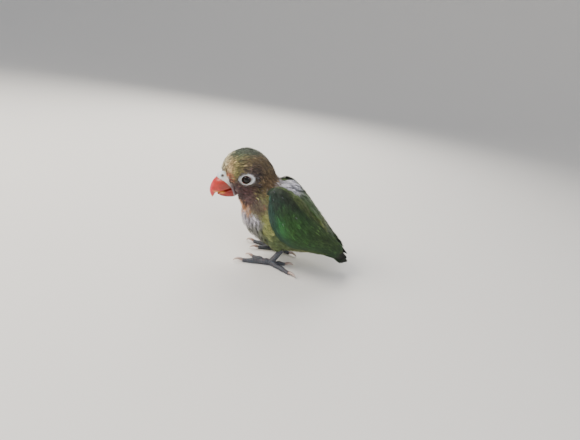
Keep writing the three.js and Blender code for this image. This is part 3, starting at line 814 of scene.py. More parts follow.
# loose barbs that stray over the closed ones
points, normals, uvs, hollow, beside = sown_on_body(0.95 * MM, vaned_part)
length = vary(draw, (4.6 + 2 * hollow) * MM, 0.7, 1.15)
height = vary(draw, BODY_COAT + (0.3 + 2.1 * hollow + 1.6 * beside) * MM, 0.8, 1.1)
path, out = grow(points, normals, length, height)
colour = markings(path[:, 3] + draw.normal(0, 0.8 * MM, points.shape))
colour *= draw.lognormal(0, 0.3, (len(points), 1))
ribbons("body_wisps", "body_plumage", *tufts(
    path, out, colour, uvs, draw, strands=6, width=0.13 * MM, spread=0.9 * MM, ragged=0.4,
    curl=0.25 * MM, tip=1.35, root=0.4, tone_spread=0.2,
))

points, normals, uvs, hollow, beside = sown_on_body(0.72 * MM, downy_part)
length = vary(draw, (3.4 + 1.8 * hollow) * MM, 0.7, 1.25)
height = vary(draw, BODY_COAT + (2.4 * hollow + 1.6 * beside) * MM, 0.55, 1.2)
path, out = grow(points, normals, length, height)
colour = markings(path[:, 2] + draw.normal(0, 0.9 * MM, points.shape))
ribbons("down", "body_plumage", *tufts(
    path, out, colour, uvs, draw, strands=9, width=0.15 * MM, spread=0.8 * MM, ragged=0.45,
    curl=0.5 * MM, tip=1.1, root=0.5, tone_spread=0.12,
))

# Wings
# Folded wings, each a hand of bone and skin with tiers of green feathers: small soft coverts
# over the bend, larger ones behind them, and flight feathers in a fan whose inner ones lie on top.
# back, up: an oval's middle; out, high: its half sizes; top, low: the wing's edges on it, degrees
WING = [
    (-13, 30.5, 14.6, 16.3, 47, 62),
    (-9.8, 28.3, 16.6, 16.7, 35, 76),
    (-5.8, 25.4, 17.9, 16.3, 28, 88),
    (-0.9, 22.3, 18.4, 15.1, 22, 98),
    (5, 19.3, 17.8, 12.8, 16, 107),
    (11, 16.8, 15.4, 10, 11, 107),
    (16.1, 14.8, 12.4, 7.5, 8, 103),
    (20.5, 13, 9.6, 5.6, 7, 98),
    (24.5, 11.2, 7.3, 4.2, 7, 94),
    (27.6, 9.7, 5.4, 3.1, 8, 90),
    (29.6, 8.7, 4, 2.2, 12, 86),
    (31.6, 7.7, 3, 1.6, 14, 80),
]
EDGE_DROP = 1.6
FRONT_ROUND = 2.6
LOWER_ROUND = 2.2


def through(stations, place):
    """A smooth curve through rows of numbers, read at a place counted in rows."""
    rows = np.array(stations, float)
    last = len(rows) - 1
    place = np.clip(place, 0, last)
    low = np.minimum(place.astype(int), last - 1)
    t = (place - low)[..., None]
    a, b, c, d = (rows[np.clip(low + k, 0, last)] for k in (-1, 0, 1, 2))
    return b + 0.5 * t * (c - a + t * (2 * a - 5 * b + 4 * c - d + t * (3 * (b - c) + d - a)))


def wing_chart(station, across, lift):
    """A point of the left wing, in metres. station counts WING's rows from the bend, across
    runs from the top edge to the lower one, and lift is over the wing's own shell, in mm."""
    station, across, lift = np.broadcast_arrays(
        np.asarray(station, float), np.asarray(across, float), np.asarray(lift, float)
    )
    row = through(WING, station)
    turn = np.radians(row[..., 4] + (row[..., 5] - row[..., 4]) * across)
    ahead = through(WING, station + 0.2) - through(WING, station - 0.2)
    upward = unit(np.stack([-ahead[..., 1], ahead[..., 0]], -1))
    rim = np.clip(np.abs(2 * across - 1), 0, 1) ** 4
    front = np.clip(1 - station, 0, 1) ** 2
    drop = EDGE_DROP * np.maximum(rim, front) * np.minimum(1, row[..., 2] / 18)
    round_front = np.clip(-station, 0, 1) * math.pi / 2
    round_low = np.clip((across - 1) / 0.15, 0, 1) * (1 - smooth(3, 5, station)) * math.pi / 2
    drop = drop + FRONT_ROUND * (1 - np.cos(round_front)) + LOWER_ROUND * (1 - np.cos(round_low))
    height = lift - drop
    rise = (row[..., 3] + height) * np.cos(turn)
    forward = (FRONT_ROUND * 0.5 + lift * 0.6) * np.sin(round_front)
    return np.stack(
        [
            (row[..., 2] + height) * np.sin(turn) * MM,
            (row[..., 0] + upward[..., 0] * rise - forward) * MM + SHIFT,
            (row[..., 1] + upward[..., 1] * rise) * MM,
        ],
        -1,
    )


# Markings over the wing: station, across, their radii, softness, colour
WING_GREEN = "274221"
WING_MARKS = [
    ("dark bend", (0.2, 0.5), (1.7, 0.8), 0.5, "1f3326"),
    ("olive front", (-1, 0.3), (0.9, 1), 0.5, "3a4c2c"),
    # a darker teal along the lower edge, partly the feathers' own green and partly a painted sheen
    ("teal edge with painted sheen", (2.0, 0.97), (2.6, 0.12), 0.5, "1f4034"),
    # a brighter emerald band on the coverts, partly their own green and partly a painted glossy
    # sheen
    ("emerald coverts with painted sheen", (3.2, 0.78), (1, 0.11), 0.8, "2d6e3e"),
    ("bright coverts", (4.2, 0.6), (1.8, 0.26), 0.6, "2e5322"),
    ("dark shoulder", (1.8, 0.25), (1.6, 0.22), 0.6, "1d2818"),
    ("olive scapulars", (3.6, 0.08), (3.2, 0.14), 0.6, "465324"),
    ("olive top edge", (0.4, 0), (2, 0.14), 0.5, "4c5c36"),
    ("olive rear", (6.8, 0.3), (2, 0.4), 0.6, "344921"),
    ("black tips", (10.4, 0.8), (1.7, 0.9), 0.5, "191a12"),
]


def chart_marks(table, station, across):
    """A table's colours at places on a chart."""
    return laid(table, np.stack([station, across], -1), paint(WING_GREEN))


def closed_grid(name, top, bottom, colours):
    """A closed plate between two grids of points."""
    under = top[..., 0].size
    index = np.arange(under).reshape(top.shape[:2])
    upper = quads_over(index)
    rim = np.array([*index[0, :-1], *index[:-1, -1], *index[-1, :0:-1], *index[:0:-1, 0]])
    ahead = np.roll(rim, -1)
    walls = np.stack([ahead, rim, under + rim, under + ahead], -1)
    faces = np.concatenate([upper, upper[:, ::-1] + under, walls])
    points = np.concatenate([top, bottom]).reshape(-1, 3)
    piece = mesh_piece(name, points, faces, np.concatenate([colours, colours]).reshape(-1, 3))
    edit_all(piece, bpy.ops.mesh.normals_make_consistent, inside=False)
    bpy.ops.object.shade_smooth_by_angle(angle=math.radians(50))
    return piece


PRIMARY_OUTLINE = [(0, 0.5), (0.3, 0.9), (0.62, 1), (0.82, 0.76), (0.94, 0.4), (1, 0.06)]
FLIGHT_OUTLINE = [(0, 0.5), (0.3, 0.9), (0.7, 1), (0.87, 0.84), (0.95, 0.56), (1, 0.12)]
COVERT_OUTLINE = [(0, 0.5), (0.25, 0.88), (0.55, 1), (0.8, 0.84), (0.93, 0.52), (1, 0.12)]
COLUMNS = np.array([-1, -0.62, -0.2, 0, 0.2, 0.62, 1])
VANE_ROWS = 15
SHAFT_RISE = 0.05
SHAFT_WIDE = 0.14
FRAY = 0.07


def vane(chart, root, tip, width, lifts, outline, draw, tilt=0.35, bow=0.5):
    """A feather as a grid of points in metres, with its shares along and across. root and tip
    are places on the chart; width, lifts, tilt and bow are in mm."""
    share = np.linspace(0, 1, VANE_ROWS) ** 0.9
    station = root[0] + (tip[0] - root[0]) * share
    across = root[1] + (tip[1] - root[1]) * share
    lift = lifts[0] + (lifts[1] - lifts[0]) * np.sqrt(share)
    quill = chart(station, across, lift)
    out = unit(chart(station, across, lift + 1) - quill)
    side = unit(np.cross(np.gradient(quill, axis=0), out))
    wide = np.interp(share, *zip(*outline)) * width / 2
    frayed = wide[:, None] * (1 - FRAY * draw.random((VANE_ROWS, 2)))
    split = draw.integers(VANE_ROWS // 3, VANE_ROWS - 2)
    frayed[split, draw.integers(0, 2)] *= draw.uniform(0.72, 0.95)
    half = np.where(COLUMNS < 0, frayed[:, :1], frayed[:, 1:])
    reach = half * COLUMNS
    bend = bow * (reach / width) ** 2 * 2
    rise = tilt * reach / width - bend + SHAFT_RISE * (COLUMNS == 0)
    offset = side[:, None] * reach[..., None] + out[:, None] * rise[..., None]
    points = quill[:, None] + offset * MM
    swept = np.abs(COLUMNS) * 0.3 * wide[:, None] * MM * (share[:, None] < 0.99)
    run = unit(np.gradient(quill, axis=0))
    points += run[:, None] * swept[..., None] * np.linspace(0, 1, VANE_ROWS)[:, None, None]
    return points, *np.broadcast_arrays(share[:, None], COLUMNS)


def vane_mesh(name, slot, feathers, sign, *nodes):
    """One mesh of feathers, each (points, colours, along, across), on the left or mirrored to
    the right. Each has its own tile of OFBake, and Vane measures it in mm."""
    tiles = math.ceil(math.sqrt(len(feathers)))
    grid_shape = feathers[0][0].shape[:2]
    size = grid_shape[0] * grid_shape[1]
    quads = quads_over(np.arange(size).reshape(grid_shape))
    if sign > 0:
        quads = quads[:, ::-1]
    faces = np.concatenate([quads + i * size for i in range(len(feathers))])
    points = np.concatenate([feather[0].reshape(-1, 3) for feather in feathers])
    colours = np.concatenate([feather[1].reshape(-1, 3) for feather in feathers])
    piece = mesh_piece(name, points * [sign, 1, 1], faces, np.clip(colours, 0, 1))
    tiled = []
    measured = []
    for i, (grid, _, share, across) in enumerate(feathers):
        inside = np.stack([across * 0.46 + 0.5, share * 0.92 + 0.04], -1)
        tiled.append((np.array([i % tiles, i // tiles]) + inside) / tiles)
        run = np.linalg.norm(grid[-1, 3] - grid[0, 3]) / MM
        waist = grid[len(grid) // 2]
        wide = np.linalg.norm(waist[-1] - waist[0]) / MM
        measured.append(np.stack([across * wide / 2, share * run + i * 7.3], -1))
    lay_uvs(piece, "OFBake", faces, np.concatenate(tiled).reshape(-1, 2))
    lay_uvs(piece, "Vane", faces, np.concatenate(measured).reshape(-1, 2))
    placed(piece, vane_paint, slot, *nodes)


def sum_of(made, operation, *terms):
    """A Math node's result; numbers are set on it and outputs are wired to it."""
    node = add_node(made, "Math", operation=operation)
    for socket, term in zip(node.inputs, terms):
        if isinstance(term, (int, float)):
            socket.default_value = term
        else:
            made.node_tree.links.new(term, socket)
    return node.outputs[0]


def ranged(made, noise, low, high):
    """A noise stretched between two numbers."""
    node = add_node(
        made, "MapRange", {"Value": noise}, From_Min=0.3, From_Max=0.7, To_Min=low, To_Max=high
    )
    return node.outputs["Result"]


def toned(made, colour, share):
    """A colour made darker or lighter by a share."""
    node = add_node(made, "VectorMath", {"Vector": colour, "Scale": share}, operation="SCALE")
    return node.outputs["Vector"]


# Barbs as fine slanting lines on each side of the shaft, which the Vane map measures in mm
BARB_SPACING = 0.3
vane_paint = finish_named(
    "closed vane", "2c4a22", 0.55, Specular_IOR_Level=0.3, Sheen_Weight=0.05
)
vane_map = add_node(vane_paint, "UVMap", uv_map="Vane")
parts = add_node(vane_paint, "SeparateXYZ", {"Vector": vane_map.outputs["UV"]})
off_shaft = sum_of(vane_paint, "ABSOLUTE", parts.outputs["X"])
slope = sum_of(vane_paint, "MULTIPLY", off_shaft, 1.2)
slanted = sum_of(vane_paint, "SUBTRACT", parts.outputs["Y"], slope)
turn = sum_of(vane_paint, "MULTIPLY", slanted, 2 * math.pi / BARB_SPACING)
barb = sum_of(vane_paint, "SINE", turn)
streak_across = sum_of(vane_paint, "MULTIPLY", parts.outputs["X"], 1.1)
streak_along = sum_of(vane_paint, "MULTIPLY", slanted, 2.4)
streak_place = add_node(vane_paint, "CombineXYZ", {"X": streak_across, "Y": streak_along})
streaks = add_node(
    vane_paint, "TexNoise", {"Vector": streak_place.outputs["Vector"]}, Scale=1.6, Detail=3
)
tone = ranged(vane_paint, streaks.outputs["Fac"], 0.55, 1.35)
lined = sum_of(vane_paint, "MULTIPLY_ADD", barb, 0.12, tone)
wire(vane_paint, "Base Color", toned(vane_paint, coat_colour(vane_paint), lined))
bumped(vane_paint, barb, 0.5, 0.05 * MM)

# Rows from the tip of the wing to its bend. first is at the lower edge, last at the top:
# root station, root across, tip station, tip across
ROWS = [
    {"first": (4.4, 1.08, 9.9, 1.12), "last": (4.3, 0.68, 10.9, 0.5), "count": 10, "width": 3.2,
     "lifts": (-0.6, 0.5), "outline": PRIMARY_OUTLINE, "rim": "23251a", "swing": 0.03},
    {"first": (4.0, 0.98, 7.2, 1.1), "last": (3.5, 0.1, 9.4, 0.3), "count": 13, "width": 3.9,
     "lifts": (-0.4, 0.95), "outline": FLIGHT_OUTLINE, "rim": "7a7a38", "swing": 0.06},
    {"first": (3, 0.98, 5, 1.0), "last": (2.5, 0.08, 5.7, 0.14), "count": 13, "width": 3.7,
     "lifts": (-0.2, 1.15), "outline": COVERT_OUTLINE, "rim": "5f7a34", "swing": 0.1},
    {"first": (2.1, 0.98, 3.7, 1.01), "last": (1.8, 0.08, 4.1, 0.12), "count": 13, "width": 3.4,
     "lifts": (0, 1.3), "outline": COVERT_OUTLINE, "rim": "567a34", "swing": 0.1},
    {"first": (1.2, 0.08, 3.6, 0.02), "last": (3.4, 0.04, 7.4, 0.06), "count": 7, "width": 3.8,
     "lifts": (0, 1.6), "outline": COVERT_OUTLINE, "rim": "7d7a3c", "swing": 0},
]


def wing_feathers(draw):
    """The wing's large feathers, each its points, colours and shares along and across."""
    feathers = []
    for row in ROWS:
        for i in range(row["count"]):
            share = i / (row["count"] - 1)
            q = np.array(row["first"]) * (1 - share) + np.array(row["last"]) * share
            q[3] += row["swing"] * math.sin(math.pi * share)
            q += draw.normal(0, 1, 4) * [0.05, 0.006, 0.09, 0.01]
            lifts = np.array(row["lifts"]) + draw.normal(0, 0.06, 2)
            width = row["width"] * draw.uniform(0.92, 1.08)
            grid, along_it, across_it = vane(
                wing_chart, q[:2], q[2:], width, lifts, row["outline"], draw
            )
            station = q[0] + (q[2] - q[0]) * along_it
            across = q[1] + (q[3] - q[1]) * along_it + across_it * 0.04
            colour = chart_marks(WING_MARKS, station, across) * draw.lognormal(0, 0.14)
            rim = smooth(0.6, 1, np.abs(across_it)) * 0.4 + smooth(0.86, 1, along_it) * 0.35
            rim = rim * (across_it > -0.5)
            colour = colour + (paint(row["rim"]) * 0.8 - colour) * (rim * 0.6)[..., None]
            shaft = np.exp(-((across_it / SHAFT_WIDE) ** 2)) * 0.45
            # each feather is painted darker towards its root, as shade under the feathers that
            # overlap it
            painted_root_shade = 0.55 + 0.45 * smooth(0, 0.6, along_it)
            colour = colour * (1 - shaft[..., None]) * painted_root_shade[..., None]
            feathers.append((grid, colour, along_it, across_it))
    return feathers


def chart_paths(root, tip, lifts, sign, steps=4):
    """Quill lines on the left wing for many small feathers, or mirrored to the right."""
    share = np.linspace(0, 1, steps + 1)
    station = root[:, :1] + (tip[:, :1] - root[:, :1]) * share
    across = root[:, 1:] + (tip[:, 1:] - root[:, 1:]) * share
    lift = lifts[:, :1] + (lifts[:, 1:] - lifts[:, :1]) * np.sqrt(share)
    path = wing_chart(station, across, lift)
    out = unit(wing_chart(station, across, lift + 1) - path)
    return path * [sign, 1, 1], out * [sign, 1, 1]


def small_coverts(draw):
    """Places of the lesser and marginal coverts: roots and tips on the chart."""
    places = []
    for station in np.arange(-0.6, 4.6, 0.2):
        wide = np.interp(station, [-1, 0.5, 2.5, 4.6], [11, 16, 22, 24])
        count = int(wide / 1.1)
        shift = draw.random()
        low = np.interp(station, [-0.6, 1, 2.3, 3], [0.3, -0.02, -0.02, 0.94])
        high = np.interp(station, [-1, -0.6, 0, 1], [0.5, 0.62, 0.85, 1.12])
        for i in range(count):
            places.append((station, low + (i + shift) / count * (high - low)))
            if station > 2.6 and i > 3:
                break
    root = np.array(places)
    root += draw.normal(0, 1, root.shape) * [0.06, 0.014]
    reach = vary(draw, np.interp(root[:, 0], [-1, 0, 2.5], [0.9, 0.62, 0.85]), 0.8, 1.2)
    swing = 0.05 * np.sin(math.pi * np.clip(root[:, 1], 0, 1))
    swing = swing - 0.5 * np.maximum(root[:, 1] - 0.97, 0)
    return root, root + np.stack([reach, swing], 1)


def wisps(draw, count=1500):
    """Places of loose barbs that stray over the closed vanes: roots and tips on the chart."""
    root = draw.random((count, 2)) * [8.4, 0.98] + [-0.1, 0.02]
    reach = draw.uniform(0.35, 0.8, count) * np.interp(root[:, 0], [0, 3, 9], [0.8, 1, 1.3])
    swing = reach * 0.09 * np.sin(math.pi * root[:, 1]) + draw.normal(0, 0.012, count)
    return root, root + np.stack([reach, swing], 1)


def bake_place(root):
    """Each small feather's own place on its piece's unwrap."""
    return np.stack([root[:, 0] / 12 + 0.1, root[:, 1] * 0.9 + 0.05], 1)


# the hand's grid, how deep it lies under the vanes in mm, and how much painted light brightens it
# beside them, against the shade on its underside
HAND_ROWS = 26
HAND_COLUMNS = 13
HAND_DEPTH = 0.45
HAND_PAINTED_LIGHT = 1.5
for side_name, sign, seed in (("left", 1, 21), ("right", -1, 22)):
    draw = np.random.default_rng(seed)
    wing = f"wing_{side_name}"
    station, across = np.meshgrid(
        np.linspace(0.05, 8.4, HAND_ROWS), np.linspace(0.01, 0.98, HAND_COLUMNS), indexing="ij"
    )
    across = 0.5 + (across - 0.5) * np.interp(station, [0, 0.5, 1.4], [0.6, 0.84, 1])
    thick = np.interp(station, [0, 4, 9], [2.4, 2, 0.9])
    top = wing_chart(station, across, -HAND_DEPTH) * [sign, 1, 1]
    bottom = wing_chart(station, across, -HAND_DEPTH - thick) * [sign, 1, 1]
    # the hand carries the wing's markings made lighter: painted light on its shaded underside
    colours = chart_marks(WING_MARKS, station, across) * HAND_PAINTED_LIGHT
    placed(closed_grid(f"{wing}_hand", top, bottom, colours), skin_paint, "wing_plumage", wing)
    vane_mesh(f"{wing}_feathers", "wing_plumage", wing_feathers(draw), sign)

    root, tip = small_coverts(draw)
    raised = vary(draw, np.interp(root[:, 0], [-1, 0.8], [0.35, 1]), 0.75, 1.15)
    lifts = np.stack([np.full(len(root), -0.3), raised], 1)
    path, out = chart_paths(root, tip, lifts, sign)
    stray = draw.normal(0, 1, root.shape) * [0.35, 0.05]
    colour = chart_marks(WING_MARKS, *((root + tip) / 2 + stray).T)
    colour *= draw.lognormal(0, 0.15, (len(root), 1))
    width = draw.uniform(1.9, 2.5, len(root)) * MM
    strips = plumes(
        path, out, colour, bake_place(root), draw, width, barbs=12, tip=1.3, root=0.55
    )
    ribbons(f"{wing}_coverts", "wing_plumage", *strips)

    root, tip = wisps(draw)
    lifts = np.stack([np.full(len(root), 0.7), draw.uniform(1.3, 1.75, len(root))], 1)
    path, out = chart_paths(root, tip, lifts, sign)
    colour = chart_marks(WING_MARKS, *((root + tip) / 2).T)
    colour *= draw.lognormal(0.1, 0.5, (len(root), 1))
    ribbons(f"{wing}_wisps", "wing_plumage", *tufts(
        path, out, colour, bake_place(root), draw, strands=4, width=0.11 * MM, spread=0.5 * MM,
        ragged=0.3, curl=0.2 * MM, tip=1.3, root=0.6, tone_spread=0.25,
    ))

# Pin sheaths
# Pale papery sheaths of feathers that have not opened yet, stuck in the coat behind the ears,
# on the collar and over the shoulders of the wings.
# how many, where from the head's middle or on the wing's chart, and how far they scatter
SHEATHS_ON_HEAD = [(7, (12.6, -10.5, -1.2), (0.4, 1.4, 0.9)), (4, (11.8, -9, -8), (0.5, 2, 1.6))]
SHEATHS_ON_WING = [(3, (1.3, 0.6), (0.6, 0.08)), (3, (2.5, 0.4), (0.7, 0.1))]
SHEATH_LENGTH = 1.1 * MM
SHEATH_RADIUS = 0.09 * MM
SHEATH_TAPER = 0.45


def from_head(side, forward, up):
    """A place given from the head's middle, in millimetres, as one in the bird."""
    return (side * MM, HEAD.y - forward * MM, HEAD.z + up * MM)


def finished(name):
    """Names the piece in hand and puts its place into its mesh."""
    piece = bpy.context.object
    piece.name = name
    bpy.ops.object.transform_apply(location=True, rotation=True, scale=True)
    return piece


draw = np.random.default_rng(51)
stands = []
for count, middle, scatter in SHEATHS_ON_HEAD:
    for _ in range(count):
        aim = Vector(from_head(*(np.array(middle) + draw.normal(0, 1, 3) * scatter)))
        foot, normal, _, _ = skin_tree.find_nearest(aim)
        way = Vector(lie(np.array([foot]), np.array([normal]))[0])
        stray = Vector(draw.normal(0, 0.3, 3))
        stands.append((foot + normal * 0.95 * MM, (way + normal * 0.25 + stray).normalized()))
for count, middle, scatter in SHEATHS_ON_WING:
    for _ in range(count):
        station, across = np.array(middle) + draw.normal(0, 1, 2) * scatter
        foot = Vector(wing_chart(station, across, 1.45))
        further = Vector(wing_chart(station + 0.4, across + draw.normal(0.03, 0.04), 1.6))
        stands.append((foot, (further - foot).normalized()))
bpy.ops.object.select_all(action="DESELECT")
for number, (foot, way) in enumerate(stands):
    for sign in (1, -1):
        flip = Vector((sign, 1, 1))
        bpy.ops.mesh.primitive_cone_add(
            vertices=8, radius1=SHEATH_RADIUS, radius2=SHEATH_RADIUS * SHEATH_TAPER,
            depth=SHEATH_LENGTH, location=foot * flip,
            rotation=(way * flip).to_track_quat("Z", "Y").to_euler(),
        )
        if number == 0 and sign == 1:
            bpy.ops.object.mode_set(mode="EDIT")
bpy.ops.object.mode_set(mode="OBJECT")
sheaths = finished("pin_sheaths")
bpy.ops.object.shade_smooth()
sheath_paint = finish_named("papery sheath", "b8b2bd", 0.6)
flakes = add_node(sheath_paint, "TexNoise", {"Vector": own_place(sheath_paint)}, Scale=1800)
tones = add_node(sheath_paint, "ValToRGB", {"Fac": flakes.outputs["Fac"]})
for stop, code in zip(tones.color_ramp.elements, ("5f5a64", "9a95a0")):
    stop.color = (*paint(code), 1)
wire(sheath_paint, "Base Color", tones.outputs["Color"])
placed(sheaths, sheath_paint, "head_plumage")

# Tail
# Six short pairs of stiff feathers in a shallow arch, just grown past the wing tips, with
# softer coverts over and under their roots.
TAIL_ROOT = (20.8, 12.6)
TAIL_TIP = (33, 6.2)
TAIL_ARCH = 0.035
TAIL_LAYERS = {"under": 7, "fan": 12, "over": 9}
TAIL_MARKS = [
    ("green root", (0.2, 0), (0.6, 8), 0.5, "35502a"),
    ("black end", (1, 0), (0.38, 9), 0.5, "2a2d22"),
]


def tail_chart(station, across, lift):
    """A point of the tail, in metres. station runs from the root, 0, to the tip, 1; across
    and lift are in mm."""
    station, across, lift = np.broadcast_arrays(
        np.asarray(station, float), np.asarray(across, float), np.asarray(lift, float)
    )
    run = np.array(TAIL_TIP) - TAIL_ROOT
    upward = np.array([-run[1], run[0]]) / np.linalg.norm(run)
    height = lift - TAIL_ARCH * across**2
    return np.stack(
        [
            across * MM,
            (TAIL_ROOT[0] + run[0] * station + upward[0] * height) * MM + SHIFT,
            (TAIL_ROOT[1] + run[1] * station + upward[1] * height) * MM,
        ],
        -1,
    )


TAIL_OUTLINE = [(0, 0.5), (0.3, 0.85), (0.7, 1), (0.86, 0.86), (0.95, 0.58), (1, 0.1)]
draw = np.random.default_rng(31)
feathers = []
for layer, count in TAIL_LAYERS.items():
    for i in range(count):
        side_share = 2 * i / (count - 1) - 1
        if layer == "fan":
            reach_to = 1 - 0.2 * side_share**2 - draw.uniform(0, 0.05)
            root, tip = (-0.1, side_share * 2.6), (reach_to, side_share * 4.8)
            level_of = 0.35 - 0.8 * abs(side_share)
            lifts, width, tilt = (level_of, level_of), 3, -0.35 * np.sign(side_share)
        else:
            over = 1 if layer == "over" else -1
            reach_to = (0.62 if over < 0 else 0.74) - 0.16 * abs(side_share)
            root, tip = (-0.35 - 0.35 * (over > 0), side_share * 3), (reach_to, side_share * 4)
            lifts, width, tilt = (over * 0.6, over * (1.3 - 0.2 * abs(side_share))), 2.8, 0
        grid, along_it, across_it = vane(
            tail_chart, root, tip, width, lifts, TAIL_OUTLINE, draw, tilt=tilt, bow=0.3
        )
        station = root[0] + (tip[0] - root[0]) * along_it
        across = root[1] + (tip[1] - root[1]) * along_it
        colour = chart_marks(TAIL_MARKS, station, across) * draw.lognormal(0, 0.12)
        shaft = np.exp(-((across_it / SHAFT_WIDE) ** 2)) * 0.4
        feathers.append((grid, colour * (1 - shaft[..., None]), along_it, across_it))
vane_mesh("tail_feathers", "tail_plumage", feathers, 1, "tail")

# Bill
# Horn over bone: a deep upper bill hooked over the lower one, rooted under the cere. It is
# polished, crimson in front, orange at its sides and yellow along the cutting edges.
# outer and inner lines of the profile as forward and up from the head's middle, and half width
UPPER_BILL = [
    (7.8, -3.6, 6.2, -6.9, 4.8),
    (11.4, -2.6, 8.6, -8.6, 5),
    (15, -3, 11.4, -10.1, 4.8),
    (17.4, -5.2, 14, -11.3, 3.9),
    (18.8, -8.6, 15.6, -12.1, 2.9),
    (18.9, -12, 16.5, -13.4, 1.8),
    (17.4, -15, 17, -14.7, 0.4),
]
LOWER_BILL = [
    (4.6, -11.2, 5.4, -5.9, 4.3),
    (7.8, -12.3, 8.6, -7.6, 4.2),
    (11.6, -12.8, 11.6, -9.3, 3.5),
    (14.9, -12.3, 14.7, -11, 2),
]
BILL_MARKS = [
    ("crimson front", (0, 19, -9), (4.4, 3.8, 6.5), 0.5, "d4122e"),
    ("dark side", (5, 9.5, -7), (2.6, 3.4, 2.4), 0.6, "93352a"),
    ("brown root", (4.6, 7, -6.4), (2.5, 2.2, 1.8), 0.5, "7c4434"),
    ("yellow edge", (3.8, 12.6, -10.9), (2.6, 3.4, 0.6), 0.6, "f0b260"),
    ("yellow tip", (0, 17.3, -15), (1.6, 2, 1.8), 0.6, "ee9a48"),
]
LOWER_MARKS = [
    ("yellow rim", (3, 13.4, -10.4), (2.6, 2.6, 0.8), 0.6, "e8a858"),
    ("dark root", (4, 4, -9.5), (3, 3, 4), 0.5, "7c2a26"),
]
BILL_SIDES = 20


def bridged(name, sides, circles, kind="SINGLE"):
    """A form bridged over circles, each its middle, radius, turn and stretch. Its ends are
    closed, unless a CLOSED bridge joins the last circle to the first."""
    bpy.ops.object.select_all(action="DESELECT")
    for number, (middle, radius, turn, stretch) in enumerate(circles):
        bpy.ops.mesh.primitive_circle_add(
            vertices=sides, radius=radius, location=middle, rotation=turn
        )
        if number == 0:
            bpy.ops.object.mode_set(mode="EDIT")
            bpy.ops.mesh.select_all(action="SELECT")
        bpy.ops.transform.resize(value=stretch, center_override=middle)
    bpy.ops.mesh.select_all(action="SELECT")
    bpy.ops.mesh.bridge_edge_loops(type=kind)
    bpy.ops.mesh.select_all(action="SELECT")
    if kind == "SINGLE":
        bpy.ops.mesh.fill_holes(sides=sides)
        bpy.ops.mesh.select_all(action="SELECT")
    bpy.ops.mesh.normals_make_consistent(inside=False)
    bpy.ops.object.mode_set(mode="OBJECT")
    piece = finished(name)
    bpy.ops.object.shade_smooth()
    return piece


def squared(piece, hoops, lower):
    """Widens each hoop's lower or upper half towards a square, as a cutting edge is."""
    spots = spots_of(piece)
    for number, (middle, radius, turn, _) in enumerate(hoops):
        rows = slice(number * BILL_SIDES, (number + 1) * BILL_SIDES)
        down = np.array([0, -math.cos(turn[0]), -math.sin(turn[0])]) * (1 if lower else -1)
        low = np.clip((spots[rows] - middle) @ down / radius, 0, 0.97)
        spots[rows, 0] *= (1 - low**4) ** 0.25 / np.sqrt(1 - low**2)
    put_spots(piece, spots)


def bill_hoops(profile, count):
    """Hoops across a bill's profile."""
    hoops = []
    for outer_f, outer_u, inner_f, inner_u, half in through(
        profile, np.linspace(0, len(profile) - 1, count)
    ):
        deep = math.hypot(outer_f - inner_f, outer_u - inner_u) / 2
        turn = math.atan2(outer_u - inner_u, inner_f - outer_f)
        middle = from_head(0, (outer_f + inner_f) / 2, (outer_u + inner_u) / 2)
        hoops.append((middle, deep * MM, (turn, 0, 0), (half / deep, 1, 1)))
    return hoops


bill_paint = finish_named(
    "bill horn", "c22f24", 0.42, Coat_Weight=0.06, Coat_Roughness=0.2,
    Subsurface_Weight=0.12, Subsurface_Scale=0.6 * MM,
)
grow_lines = add_node(
    bill_paint, "Mapping", {"Vector": own_place(bill_paint)}, Scale=(2600, 600, 600)
)
fibres = add_node(
    bill_paint, "TexNoise", {"Vector": grow_lines.outputs["Vector"]}, Scale=1, Detail=4
)
mottle = ranged(bill_paint, fibres.outputs["Fac"], 0.8, 1.12)
wire(bill_paint, "Base Color", toned(bill_paint, coat_colour(bill_paint), mottle))
bumped(bill_paint, fibres.outputs["Fac"], 0.25, 0.08 * MM)

for node, profile, marks, ground, count in (
    ("bill_upper", UPPER_BILL, BILL_MARKS, "b42c22", 13),
    ("bill_lower", LOWER_BILL, LOWER_MARKS, "98291f", 8),
):
    hoops = bill_hoops(profile, count)
    horn = bridged(f"{node}_horn", BILL_SIDES, hoops)
    squared(horn, hoops, node == "bill_upper")
    modify(horn, "SUBSURF", levels=2, render_levels=2)
    colour_points(horn.data, laid(marks, on_head(spots_of(horn)), paint(ground)))
    placed(horn, bill_paint, "bill_horn", node)

# Cere
# Bare soft skin over the root of the bill, swollen round each nostril, bluish white. Its grey
# ends run down behind the bill to the corners of the mouth.
NOSTRIL = (4.9, 12.1, -1.8)
# how many swellings, how many of them are doubled, and how far behind the doubles lie
CERE_STEPS = 34
CERE_DOUBLED = 21
CERE_BACK = 1.3
CERE_MARKS = [
    ("bluish top", (2, 14, -1.2), (5, 4, 2.6), 0.5, "d6e2e6"),
    ("grey strip", (5, 5.8, -7.2), (3, 3.6, 3.8), 0.6, "76646a"),
    # the nostril is painted dark: painted shade in its opening, over a shallow dent
    ("nostril", NOSTRIL, (1.2, 0.85, 0.7), 0.5, "54473c"),
]

